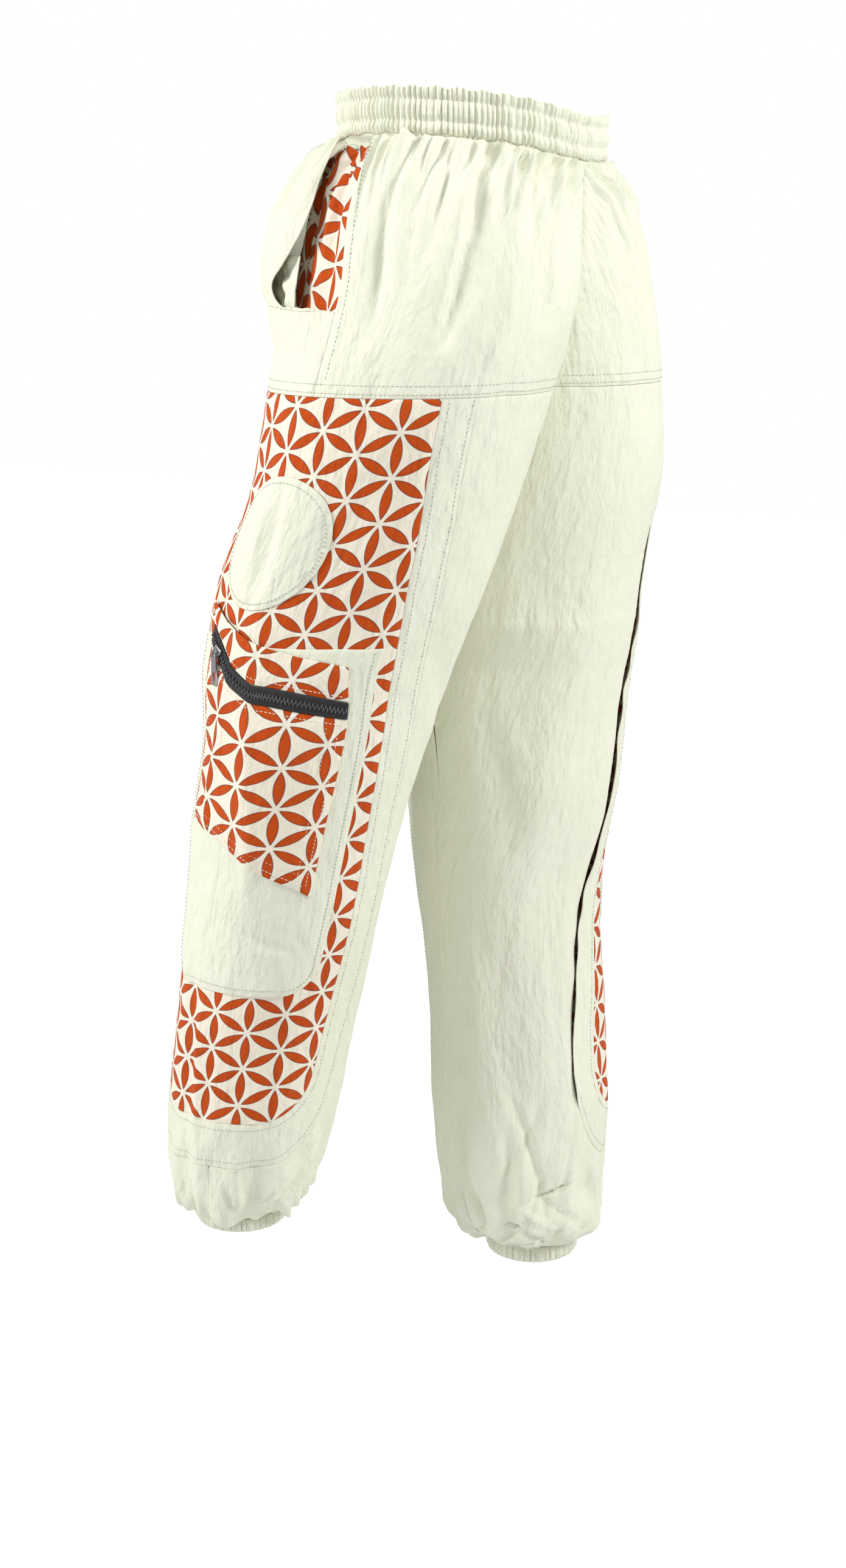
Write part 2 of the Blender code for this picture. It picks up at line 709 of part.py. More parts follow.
def bridge(side):
    """The arch over the tab's top bar; it stands in the slider's body."""
    place, _, _, out = slider_frame(side)
    axis, _ = hinge_axes(out)
    fall = axis.cross(out).normalized()
    foot, top = 0.0014, BAIL_HEIGHT + BRIDGE_GAP
    far = BRIDGE_GAP + BRIDGE_THICK
    outer = ((-far, foot), (-far, top + BRIDGE_THICK), (far, top + BRIDGE_THICK), (far, foot))
    inner = ((-BRIDGE_GAP, foot), (-BRIDGE_GAP, top), (BRIDGE_GAP, top), (BRIDGE_GAP, foot))
    sides = (-BRIDGE_WIDTH / 2, BRIDGE_WIDTH / 2)
    grids = [
        [[place + axis * h + fall * p + out * o for p, o in path] for h in sides]
        for path in (outer, inner)
    ]
    return wall(*grids)


def add_slider(side, tape):
    """Joins the slider's body and its bridge to the tape, and closes up the thin faces of the cut."""
    place, along, over, out = slider_frame(side)
    body = box(place + out * (SLIDER_TOP + SLIDER_SUNK) / 2, (along, over, out),
               (SLIDER_LENGTH, SLIDER_WIDTH, SLIDER_TOP - SLIDER_SUNK))
    helpers = [add_object("slider_body", body, STEEL), add_object("bridge", bridge(side), STEEL)]
    for helper in helpers:
        join = tape.modifiers.new(helper.name, "BOOLEAN")
        join.operation = "UNION"
        join.solver = "EXACT"
        join.object = helper
    bpy.context.view_layer.update()
    joined = bmesh.new()
    joined.from_object(tape, bpy.context.evaluated_depsgraph_get())
    tape.modifiers.clear()
    for helper in helpers:
        bpy.data.objects.remove(helper, do_unlink=True)
    bmesh.ops.remove_doubles(joined, verts=joined.verts, dist=SMALLEST_EDGE)
    bmesh.ops.triangulate(joined, faces=joined.faces)
    bmesh.ops.dissolve_degenerate(joined, edges=joined.edges, dist=SMALLEST_EDGE)
    bmesh.ops.triangulate(joined, faces=joined.faces)
    bmesh.ops.recalc_face_normals(joined, faces=joined.faces)
    joined.to_mesh(tape.data)
    joined.free()


TAB_COLUMNS = (-1.0, -0.42, 0.42, 1.0)  # shares of the half width
TAB_ROWS = (
    # height below the axis, half_width, middle cell open below this row
    (TAB_THICK / 2, 0.0024, False),
    (-TAB_THICK / 2, 0.0030, True),
    (-0.0042, TAB_WIDTH / 2, False),
    (-0.0160, TAB_WIDTH / 2, True),
    (-0.0225, TAB_WIDTH / 2, False),
    (-0.0245, TAB_WIDTH / 2, False),
    (-TAB_LENGTH, 0.0022, False),
)


def zip_tab(side):
    """The pull tab, a plate with a slot at its top bar and a hole at its lower end; it hangs."""
    place, _, _, out = slider_frame(side)
    axis, level = hinge_axes(out)
    shape = bmesh.new()
    sheets = [
        [
            [
                shape.verts.new(axis * (share * half) + level * y + Vector((0, 0, z)))
                for share in TAB_COLUMNS
            ]
            for z, half, _ in TAB_ROWS
        ]
        for y in (-TAB_THICK / 2, TAB_THICK / 2)
    ]
    cells = {
        (i, j)
        for i in range(len(TAB_ROWS) - 1)
        for j in range(3)
        if not (j == 1 and TAB_ROWS[i][2])
    }
    near, far = sheets
    for i, j in sorted(cells):
        for sheet in sheets:
            shape.faces.new((sheet[i][j], sheet[i][j + 1], sheet[i + 1][j + 1], sheet[i + 1][j]))
        around = (
            ((i - 1, j), (i, j), (i, j + 1)),
            ((i + 1, j), (i + 1, j), (i + 1, j + 1)),
            ((i, j - 1), (i, j), (i + 1, j)),
            ((i, j + 1), (i, j + 1), (i + 1, j + 1)),
        )
        for neighbour, (a, b), (c, d) in around:
            if neighbour not in cells:
                shape.faces.new((near[a][b], near[c][d], far[c][d], far[a][b]))
    return shape, place + out * BAIL_HEIGHT


# ---------------------------------------------------------------- waistband and cuffs
def ring_wall(centre, width, depth, profile, waves, swing, thick, level=None):
    """A gathered band round an ellipse: profile rows are (height, out, share of the waves)."""
    count = 2 * waves
    outer, inner = [], []
    for height, out, share in profile:
        top, under = [], []
        for k in range(count):
            angle = 2 * pi * k / count
            wave = swing * share * (1 if k % 2 else -1)
            for layer, off in ((top, out + wave), (under, -thick)):
                x = (width + off) * cos(angle)
                y = (depth + off) * sin(angle)
                z = height + (float(level(x, y)) if level else 0.0)
                layer.append(Vector((centre[0] + x, centre[1] + y, centre[2] + z)))
        outer.append(top)
        inner.append(under)
    # the inner face is plain: only its two edges are kept
    shape = bmesh.new()
    out_verts = [[shape.verts.new(p) for p in row] for row in outer]
    in_verts = [[shape.verts.new(p) for p in row] for row in (inner[0], inner[-1])]
    loops = out_verts + [in_verts[1], in_verts[0]]
    for i in range(len(loops)):
        first, second = loops[i], loops[(i + 1) % len(loops)]
        for k in range(count):
            n = (k + 1) % count
            shape.faces.new((first[k], first[n], second[n], second[k]))
    return shape


def waistband():
    half = WAIST_HEIGHT / 2
    profile = (
        # height, out, share of the waves
        (half, 0.0005, 1.0),
        (0.0078, -0.0010, 0.30),
        (0.0006, 0.0012, 0.75),
        (-0.0066, -0.0010, 0.30),
        (-half + 0.0002, 0.0006, 0.60),
    )
    return ring_wall((0, 0, 0), WAIST_HALF_WIDTH, WAIST_HALF_DEPTH, profile, WAIST_WAVES,
                     0.0013, WAIST_WALL, waist_level)


def cuff(side):
    _, height, middle_x, middle_y, width, depth = LEG_ROWS[side][-1]
    top = height - SEAM - 0.0004
    profile = (
        (0.0, 0.0004, 0.5),
        (-CUFF_HEIGHT[side] / 2, 0.0004, 1.0),
        (-CUFF_HEIGHT[side], -0.0004, 0.6),
    )
    centre = (SIDES[side] * middle_x, middle_y, top)
    return ring_wall(centre, width, depth, profile, CUFF_WAVES, 0.0011, CUFF_WALL)


# ---------------------------------------------------------------- build
for old in list(bpy.data.objects):
    bpy.data.objects.remove(old, do_unlink=True)

add_object("waistband", waistband(), SAGE)
for half_name in SIDES:
    add_object("back_yoke_" + half_name, back_yoke(half_name), SAGE)
    add_object("front_yoke_" + half_name, front_yoke(half_name), SAGE)
    add_object("hip_pocket_" + half_name, hip_pocket(half_name), PRINT)
    add_object("back_leg_" + half_name, leg_panel(half_name, "back"), SAGE)
    add_object("front_leg_" + half_name, leg_panel(half_name, "front"), SAGE)
    add_object("side_print_" + half_name, side_print(half_name), PRINT)
    add_object("side_band_" + half_name, side_band(half_name), SAGE)
    add_object("circle_patch_" + half_name, circle_patch(half_name), SAGE)
    add_object("pocket_backing_" + half_name, pocket_backing(half_name), SAGE)
    add_object("cargo_pocket_" + half_name, cargo_pocket(half_name), PRINT)
    add_object("pocket_top_" + half_name, pocket_top(half_name), PRINT)
    tape_object = add_object("zip_" + half_name, zip_tape(half_name), ZIP_BLACK)
    add_slider(half_name, tape_object)
    tab_shape, tab_axis = zip_tab(half_name)
    add_object("zip_tab_" + half_name, tab_shape, STEEL, tab_axis)
    add_object("cuff_" + half_name, cuff(half_name), SAGE)
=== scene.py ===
# %% [markdown]
# # Harem pants in printed and plain cotton
# These trousers are worn loose and gathered: an elastic waistband, plain yokes with a slanted hip
# pocket, plain leg panels, and down each side a printed panel inside a U-shaped plain band. A round
# patch and a zipped cargo pocket are sewn on the print. Everything here is cloth, so the lesson is
# about laying flat cut pieces on one shared form and giving them weave, print, folds and stitches.
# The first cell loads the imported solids, which fix every size.

import bmesh
import bpy
import numpy as np
from mathutils import Matrix, Vector


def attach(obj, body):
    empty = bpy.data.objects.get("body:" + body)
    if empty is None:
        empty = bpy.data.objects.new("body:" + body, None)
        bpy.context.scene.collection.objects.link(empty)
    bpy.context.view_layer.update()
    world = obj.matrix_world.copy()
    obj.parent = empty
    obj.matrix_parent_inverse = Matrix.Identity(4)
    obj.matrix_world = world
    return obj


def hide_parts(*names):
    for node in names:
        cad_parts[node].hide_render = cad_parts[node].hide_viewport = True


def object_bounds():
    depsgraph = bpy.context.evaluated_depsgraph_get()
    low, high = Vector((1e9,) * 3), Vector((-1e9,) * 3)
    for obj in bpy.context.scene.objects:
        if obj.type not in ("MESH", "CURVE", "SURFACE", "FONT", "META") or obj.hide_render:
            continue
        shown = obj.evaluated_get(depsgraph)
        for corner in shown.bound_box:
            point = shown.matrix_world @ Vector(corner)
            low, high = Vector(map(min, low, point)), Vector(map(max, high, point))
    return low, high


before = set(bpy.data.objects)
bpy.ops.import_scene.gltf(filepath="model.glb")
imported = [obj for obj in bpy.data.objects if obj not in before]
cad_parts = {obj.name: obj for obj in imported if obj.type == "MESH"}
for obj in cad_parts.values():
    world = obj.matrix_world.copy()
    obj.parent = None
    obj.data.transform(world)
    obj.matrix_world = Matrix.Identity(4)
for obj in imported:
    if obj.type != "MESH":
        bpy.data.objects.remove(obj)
cad_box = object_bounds()
print("solids' box", [[round(c, 3) for c in corner] for corner in cad_box])

# %% [markdown]
# ## The form under the cloth
# A pattern cutter measures cloth flat: "down" from the waistband's lower edge, and "across" from
# the side of the leg. The worn shape is a stack of rings, one ellipse per row. Keeping the rows in a
# short table and running one smooth curve through each column gives a form without dents, and it
# lets every piece that is laid on it share the same surface.

# %% Rows of the worn form
SEAM = 0.0004  # clearance between two sewn pieces
WAIST_HEIGHT, WAIST_HALF_WIDTH, WAIST_HALF_DEPTH = 0.032, 0.118, 0.0885
YOKE_SEAM, CROTCH = 0.172, 0.393  # down
SIDE_SEAM = -0.015  # across
SIDES = {"left": 1.0, "right": -1.0}

WAIST_LEVEL = (  # angle from the wearer's left towards the back, height of the waistband's middle
    (-180, -0.0010), (-120, 0.0040), (-60, 0.0105), (32, 0.0103),
    (58, 0.0055), (84, -0.0020), (130, -0.0015), (180, -0.0010),
)
HIP_ROWS = (  # down, height, middle_x, middle_y, half_width, half_depth
    (0.000, -0.0160, 0.000, 0.000, 0.1180, 0.0885),
    (0.020, -0.0360, 0.012, 0.000, 0.1230, 0.1010),
    (0.050, -0.0640, 0.030, 0.000, 0.1200, 0.1075),
    (0.100, -0.1110, 0.055, 0.000, 0.1080, 0.1105),
)
LEG_ROWS = {  # the same columns
    "left": (
        (0.172, -0.180, 0.0795, -0.0110, 0.1000, 0.1010),
        (0.245, -0.252, 0.0830, -0.0300, 0.0960, 0.0965),
        (0.313, -0.320, 0.0870, -0.0560, 0.0910, 0.1000),
        (0.385, -0.392, 0.0905, -0.0770, 0.0880, 0.0930),
        (0.423, -0.430, 0.0910, -0.0825, 0.0860, 0.0865),
        (0.503, -0.510, 0.0900, -0.1015, 0.0820, 0.0820),
        (0.583, -0.590, 0.0880, -0.1200, 0.0770, 0.0775),
        (0.683, -0.690, 0.0850, -0.1440, 0.0710, 0.0715),
        (0.783, -0.790, 0.0820, -0.1630, 0.0665, 0.0660),
        (0.829, -0.835, 0.0810, -0.1690, 0.0590, 0.0575),
        (0.859, -0.855, 0.0800, -0.1730, 0.0460, 0.0460),
        (0.873, -0.857, 0.0800, -0.1740, 0.0360, 0.0360),
    ),
    "right": (
        (0.172, -0.180, 0.0795, 0.0010, 0.1005, 0.1090),
        (0.245, -0.252, 0.0830, 0.0080, 0.0970, 0.1030),
        (0.313, -0.320, 0.0870, -0.0040, 0.0920, 0.1010),
        (0.385, -0.392, 0.0905, -0.0070, 0.0880, 0.0960),
        (0.423, -0.430, 0.0910, -0.0060, 0.0870, 0.0890),
        (0.503, -0.510, 0.0900, -0.0110, 0.0830, 0.0870),
        (0.583, -0.590, 0.0880, -0.0130, 0.0770, 0.0770),
        (0.683, -0.690, 0.0850, -0.0040, 0.0730, 0.0750),
        (0.783, -0.790, 0.0820, 0.0020, 0.0740, 0.0755),
        (0.840, -0.847, 0.0810, 0.0060, 0.0670, 0.0690),
        (0.885, -0.887, 0.0800, 0.0140, 0.0570, 0.0590),
        (0.909, -0.900, 0.0800, 0.0170, 0.0370, 0.0370),
    ),
}
RISE_ROWS = (  # down, back_y, front_y of the centre seams
    (0.000, 0.0885, -0.0885), (0.020, 0.0900, -0.0950), (0.050, 0.0890, -0.0980),
    (0.100, 0.0840, -0.0990), (0.172, 0.0650, -0.0950), (0.245, 0.0400, -0.0800),
    (0.313, 0.0060, -0.0660), (0.385, -0.0380, -0.0500), (0.393, -0.0430, -0.0450),
)
print("rows of the form", len(HIP_ROWS), {side: len(LEG_ROWS[side]) for side in SIDES})

# %% [markdown]
# ## One surface through the rows
# The form could be a lofted mesh, but a function is easier to lay cloth on, because it gives the
# point for any place on the cloth. One smooth curve runs through each column of the rows. An ellipse
# would round off the seat, so the centre seams are pulled to depths of their own.

# %% Surface of the form
INSEAM_TURN = np.radians(20)  # the inseam lies this far in front of the innermost line
TURN_REACH, RISE_REACH, LEAN_REACH = 0.12, 0.10, 0.15  # how far down each of these fades


def column(table, index):
    return np.array([row[index] for row in table], float)


def smooth(x, xs, ys):
    """One smooth curve through the rows, read at x."""
    xs, ys = np.asarray(xs, float), np.asarray(ys, float)
    step = np.diff(xs)
    slope = np.diff(ys) / step
    turn = np.empty(len(xs))
    turn[0], turn[-1] = slope[0], slope[-1]
    turn[1:-1] = (slope[:-1] * step[1:] + slope[1:] * step[:-1]) / (step[:-1] + step[1:])
    x = np.clip(np.asarray(x, float), xs[0], xs[-1])
    i = np.clip(np.searchsorted(xs, x, side="right") - 1, 0, len(xs) - 2)
    t = (x - xs[i]) / step[i]
    start = (2 * t**3 - 3 * t**2 + 1) * ys[i] + (t**3 - 2 * t**2 + t) * step[i] * turn[i]
    end = (3 * t**2 - 2 * t**3) * ys[i + 1] + (t**3 - t**2) * step[i] * turn[i + 1]
    return start + end


def read_rows(rows, x, index):
    """A column of the rows, read at any value of their first column."""
    return smooth(x, column(rows, 0), column(rows, index))


def leg_end(side):
    return LEG_ROWS[side][-1][0]


def waist_level(x, y):
    angle = np.degrees(np.arctan2(y / WAIST_HALF_DEPTH, x / WAIST_HALF_WIDTH))
    return read_rows(WAIST_LEVEL, angle, 1)


def bare_ring(side, around, down):
    """The form's surface: around is -1 at the centre front or inseam, 0 at the side, +1 behind."""
    rows = HIP_ROWS + LEG_ROWS[side]
    around, down = np.broadcast_arrays(np.asarray(around, float), np.asarray(down, float))
    height, middle_x, middle_y, width, depth = (read_rows(rows, down, k) for k in range(1, 6))
    split = np.where(down < CROTCH, np.arccos(-np.clip(middle_x / width, 0, 1)), np.pi)
    turn = INSEAM_TURN * np.clip((down - CROTCH) / TURN_REACH, 0, 1)
    angle = np.where(around >= 0, around * (split + turn), around * (split - turn))
    x = middle_x + width * np.cos(angle)
    y = middle_y + depth * np.sin(angle)
    back, front = (read_rows(RISE_ROWS, np.minimum(down, CROTCH), k) for k in (1, 2))
    own = depth * np.sin(split)
    pull = np.abs(around) ** 5 * np.clip(1 - (down - CROTCH) / RISE_REACH, 0, 1)
    y = y + pull * np.where(around >= 0, back - (middle_y + own), front - (middle_y - own))
    x = SIDES[side] * x
    lean = np.clip(1 - down / LEAN_REACH, 0, 1) ** 1.5
    return np.stack([x, y, height + lean * waist_level(x, y)], -1)


def outward(side, around, down):
    """The way off the form at each point, as unit vectors."""
    d_around, d_down = 0.01, 0.004
    low, high = np.clip(around - d_around, -1, 1), np.clip(around + d_around, -1, 1)
    top, end = np.clip(down - d_down, 0, None), np.clip(down + d_down, None, leg_end(side))
    along = bare_ring(side, high, down) - bare_ring(side, low, down)
    fall = bare_ring(side, around, end) - bare_ring(side, around, top)
    normal = np.cross(along, fall) * -SIDES[side]
    return normal / np.linalg.norm(normal, axis=-1, keepdims=True)


for side in SIDES:
    print(side, "hem at height", round(float(bare_ring(side, 0.0, leg_end(side))[2]), 3))

# %% [markdown]
# ## From cloth metres to the form
# Cut lines are easiest in metres of cloth, but the form is indexed by "around". Measuring each ring
# once and keeping the lengths in two small tables turns either into the other quickly.

# %% Tables between across and around
DOWN_STEP, ACROSS_STEP, ACROSS_MOST = 0.003, 0.0025, 0.33
RING_HALF = 120  # steps from the side to the centre seam
RING_STEPS = np.linspace(-1, 1, 2 * RING_HALF + 1)
KNEE = 0.480
LENGTHS, AROUNDS = {}, {}
for side in SIDES:
    downs = np.arange(0, leg_end(side) + 2 * DOWN_STEP, DOWN_STEP)
    rings = bare_ring(side, RING_STEPS[None, :], downs[:, None])
    steps = np.linalg.norm(np.diff(rings, axis=1), axis=2)
    lengths = np.concatenate([np.zeros((len(downs), 1)), np.cumsum(steps, axis=1)], axis=1)
    LENGTHS[side] = lengths - lengths[:, RING_HALF : RING_HALF + 1]
    wanted = np.arange(-ACROSS_MOST, ACROSS_MOST, ACROSS_STEP)
    AROUNDS[side] = np.array([np.interp(wanted, row, RING_STEPS) for row in LENGTHS[side]])
    knee_girth = float(np.ptp(LENGTHS[side][round(KNEE / DOWN_STEP)]))
    print(f"{side} girth at the knee {knee_girth:.3f} m")


def look_up(table, row, col):
    """Reads a table between its cells."""
    row = np.clip(row, 0, table.shape[0] - 1.001)
    col = np.clip(col, 0, table.shape[1] - 1.001)
    i, j = row.astype(int), col.astype(int)
    a, b = row - i, col - j
    top = table[i, j] * (1 - b) + table[i, j + 1] * b
    low = table[i + 1, j] * (1 - b) + table[i + 1, j + 1] * b
    return top * (1 - a) + low * a


def around_of(side, across, down):
    across, down = np.broadcast_arrays(np.asarray(across, float), np.asarray(down, float))
    return look_up(AROUNDS[side], down / DOWN_STEP, (across + ACROSS_MOST) / ACROSS_STEP)


def across_of(side, around, down):
    around, down = np.broadcast_arrays(np.asarray(around, float), np.asarray(down, float))
    return look_up(LENGTHS[side], down / DOWN_STEP, (around + 1) * RING_HALF)


# %% [markdown]
# ## Folds
# Cloth never lies smooth: it hangs in long soft troughs and buckles at the knee, and a loose leg
# breaks into a soft corner down its side. Each fold is one row of a table, a ridge or trough between
# two points of the cloth. A row is quicker to move than a sculpted fold. The printed panel's edges
# and the corner share a table, because the cloth turns where the panel hangs.

# %% Panel lines and long folds
TOP_PANEL_ROWS = (  # down, back_edge, front_edge, corner_line, corner_height
    (0.172, 0.080, -0.125, -0.020, 0.000),
    (0.230, 0.082, -0.133, -0.024, 0.004),
    (0.300, 0.092, -0.138, -0.018, 0.008),
)
PANEL_ROWS = {
    "left": TOP_PANEL_ROWS + (
        (0.360, 0.099, -0.138, -0.004, 0.008),
        (0.450, 0.100, -0.134, 0.007, 0.009),
        (0.540, 0.102, -0.128, 0.016, 0.006),
        (0.620, 0.098, -0.112, 0.012, 0.002),
        (0.702, 0.089, -0.075, 0.007, 0.000),
    ),
    "right": TOP_PANEL_ROWS + (
        (0.360, 0.101, -0.142, -0.004, 0.008),
        (0.450, 0.100, -0.142, 0.007, 0.009),
        (0.540, 0.101, -0.140, 0.016, 0.006),
        (0.640, 0.112, -0.130, 0.010, 0.002),
        (0.732, 0.122, -0.112, 0.006, 0.000),
    ),
}
CORNER_REACH, CORNER_END = 0.060, 0.70  # across and down
FOLD_ROWS = {
    "left": (  # across_top, down_top, across_low, down_low, half_width, height
        (0.030, 0.030, 0.012, 0.150, 0.012, -0.0025),
        (0.085, 0.030, 0.070, 0.140, 0.014, -0.0035),
        (0.130, 0.020, 0.150, 0.150, 0.016, -0.0030),
        (0.165, 0.200, 0.150, 0.520, 0.026, 0.0035),
        (0.205, 0.340, 0.160, 0.700, 0.024, -0.0040),
        (0.135, 0.560, 0.150, 0.820, 0.020, 0.0030),
        (-0.150, 0.560, -0.120, 0.820, 0.022, -0.0040),
        (-0.170, 0.250, -0.175, 0.600, 0.024, 0.0040),
    ),
    "right": (
        (0.040, 0.030, 0.030, 0.140, 0.012, -0.0025),
        (0.100, 0.030, 0.085, 0.140, 0.014, -0.0035),
        (0.150, 0.020, 0.160, 0.150, 0.014, -0.0030),
        (0.205, 0.220, 0.190, 0.560, 0.028, 0.0035),
        (0.170, 0.380, 0.165, 0.720, 0.024, -0.0035),
        (0.215, 0.560, 0.190, 0.860, 0.020, -0.0040),
        (-0.165, 0.300, -0.150, 0.640, 0.024, 0.0040),
        (-0.195, 0.560, -0.160, 0.840, 0.020, -0.0040),
    ),
}
print("long folds", {side: len(rows) for side, rows in FOLD_ROWS.items()})

# %% [markdown]
# ## Fine creases
# Under the waistband, down the print and over the cuffs the cloth breaks into short, sharp creases,
# which the solids leave out. They could be sculpted, but as rows like those of the long folds each can
# be moved on its own, and every piece that lies there shows the same crease.

# %% Fine creases
CREASE_ROWS = {
    "left": (  # the columns of FOLD_ROWS
        (-0.030, 0.600, -0.016, 0.800, 0.0060, -0.0030),
        (-0.018, 0.630, -0.004, 0.790, 0.0045, 0.0022),
        (-0.046, 0.560, -0.034, 0.740, 0.0070, 0.0020),
        (0.000, 0.400, 0.016, 0.560, 0.0060, 0.0016),
        (0.013, 0.020, 0.017, 0.135, 0.0045, -0.0036),
        (0.024, 0.012, 0.030, 0.110, 0.0050, 0.0030),
        (0.077, 0.030, 0.068, 0.150, 0.0055, -0.0036),
        (0.052, 0.010, 0.045, 0.105, 0.0050, -0.0028),
        (-0.022, 0.225, -0.014, 0.335, 0.0065, -0.0034),
        (-0.034, 0.230, -0.030, 0.330, 0.0060, 0.0024),
        (0.150, 0.090, 0.110, 0.260, 0.0110, -0.0022),
        (0.120, 0.330, 0.180, 0.430, 0.0130, -0.0024),
        (-0.020, 0.560, 0.060, 0.600, 0.0070, -0.0018),
        (0.104, 0.795, 0.056, 0.838, 0.0042, -0.0050),
        (0.128, 0.750, 0.078, 0.822, 0.0048, -0.0046),
        (0.080, 0.790, 0.038, 0.836, 0.0040, 0.0036),
        (0.022, 0.798, 0.026, 0.838, 0.0040, -0.0046),
        (-0.032, 0.790, -0.022, 0.836, 0.0044, -0.0046),
        (-0.084, 0.770, -0.060, 0.832, 0.0050, -0.0044),
    ),
    "right": (
        (0.165, 0.838, 0.112, 0.878, 0.0045, -0.0036),
        (0.240, 0.780, 0.215, 0.890, 0.0080, 0.0030),
        (0.020, 0.020, 0.024, 0.130, 0.0045, -0.0034),
        (0.070, 0.020, 0.060, 0.145, 0.0055, -0.0034),
        (-0.022, 0.225, -0.014, 0.335, 0.0065, -0.0030),
        (0.190, 0.090, 0.150, 0.260, 0.0120, -0.0024),
        (0.260, 0.420, 0.210, 0.560, 0.0120, -0.0026),
        (-0.018, 0.640, -0.006, 0.800, 0.0060, -0.0024),
        (0.258, 0.740, 0.240, 0.835, 0.0048, -0.0046),
        (0.238, 0.820, 0.206, 0.876, 0.0042, -0.0052),
        (0.212, 0.770, 0.188, 0.862, 0.0048, -0.0044),
        (0.202, 0.835, 0.148, 0.872, 0.0040, 0.0040),
        (0.176, 0.845, 0.138, 0.826, 0.0040, -0.0046),
        (0.196, 0.862, 0.142, 0.884, 0.0036, -0.0050),
        (0.120, 0.820, 0.096, 0.880, 0.0044, -0.0046),
        (0.060, 0.815, 0.070, 0.884, 0.0044, -0.0046),
        (0.150, 0.795, 0.142, 0.895, 0.0034, -0.0048),
        (0.168, 0.815, 0.172, 0.895, 0.0032, -0.0044),
        (0.192, 0.800, 0.165, 0.893, 0.0034, 0.0036),
        (0.226, 0.830, 0.200, 0.893, 0.0034, -0.0048),
        (0.130, 0.835, 0.125, 0.895, 0.0030, 0.0034),
        (0.212, 0.740, 0.150, 0.870, 0.0042, -0.0040),
        (0.172, 0.730, 0.205, 0.830, 0.0048, -0.0028),
    ),
}
print("creases", {side: len(rows) for side, rows in CREASE_ROWS.items()})

# %% [markdown]
# ## Gathers
# Elastic draws cloth into many uneven ridges, strongest at its edge. A plain wave would look like
# machined pleats, so each gather gets its own place, length, slant and width from a seeded draw. The
# seeds keep the trousers the same at every run.

# %% Gathers at the waist and the hems
WAIST_GATHERS = (  # seed_step, count, start, lengths, half_widths, height
    (0, 34, -0.010, (0.050, 0.110), (0.0028, 0.0052), 0.0030),
    (1, 14, -0.020, (0.110, 0.190), (0.0040, 0.0070), 0.0024),
    (5, 92, -0.006, (0.020, 0.060), (0.0017, 0.0025), -0.0042),
)
HEM_GATHERS = (
    (2, 30, 0.008, (0.045, 0.095), (0.0034, 0.0052), 0.0044),
    (3, 12, 0.020, (0.100, 0.170), (0.0050, 0.0080), 0.0040),
    (7, 46, 0.004, (0.022, 0.060), (0.0030, 0.0042), -0.0028),
)
FIRST_SEED = {"left": 11, "right": 23}
PLACED_SKEW, GATHER_SKEW = 1.0, 0.6  # below 1, a fold is highest near its start
WAIST_MEASURED, HEM_MEASURED = 0.006, 0.020  # how far from each elastic its cloth is measured


def gathers(seed, reach, count, start, way, lengths, widths, height):
    """Rows for uneven gathers that leave an elastic edge, strongest close to it."""
    pick = np.random.default_rng(seed)
    rows = []
    for place in np.linspace(-reach, reach, count):
        place = place + pick.uniform(-0.004, 0.004)
        length = pick.uniform(*lengths)
        slant = pick.uniform(-0.10, 0.10) * length
        rows.append((place, start, place + slant, start + way * length, pick.uniform(*widths),
                     height * pick.uniform(0.5, 1.2) * pick.choice((1, 1, -1)), GATHER_SKEW))
    return rows


def fold_rows(side):
    rows = [(*row, PLACED_SKEW) for row in FOLD_ROWS[side] + CREASE_ROWS[side]]
    hem = leg_end(side)
    waist_row, hem_row = round(WAIST_MEASURED / DOWN_STEP), int((hem - HEM_MEASURED) / DOWN_STEP)
    for table, elastic, way, ring_row in (
        (WAIST_GATHERS, 0.0, 1, waist_row), (HEM_GATHERS, hem, -1, hem_row)
    ):
        reach = float(np.ptp(LENGTHS[side][ring_row])) / 2
        for step, count, start, lengths, widths, height in table:
            rows += gathers(FIRST_SEED[side] + step, reach, count, elastic + start, way,
                            lengths, widths, height)
    return np.array(rows)


ALL_FOLDS = {side: fold_rows(side) for side in SIDES}
print("folds per side", {side: len(rows) for side, rows in ALL_FOLDS.items()})

# %% [markdown]
# ## The folded cloth
# All the folds are added up into one height, and the form is pushed out by it. The height fades to
# nothing at the elastic and at the centre seams, so that two pieces which are sewn together still
# meet. Every piece that lies on the cloth reads the same height, and so does every stitch.

# %% Height of the folds and points of the cloth
# the even gathers that the solids carry too
YOKE_WAVES, YOKE_WAVE_HIGH, YOKE_WAVE_REACH = 9, 0.0022, 0.12
BLOUSE_WAVES, BLOUSE_HIGH, BLOUSE_REACH = 13, 0.0028, 0.11


def panel_at(side, index, down):
    return read_rows(PANEL_ROWS[side], down, index)


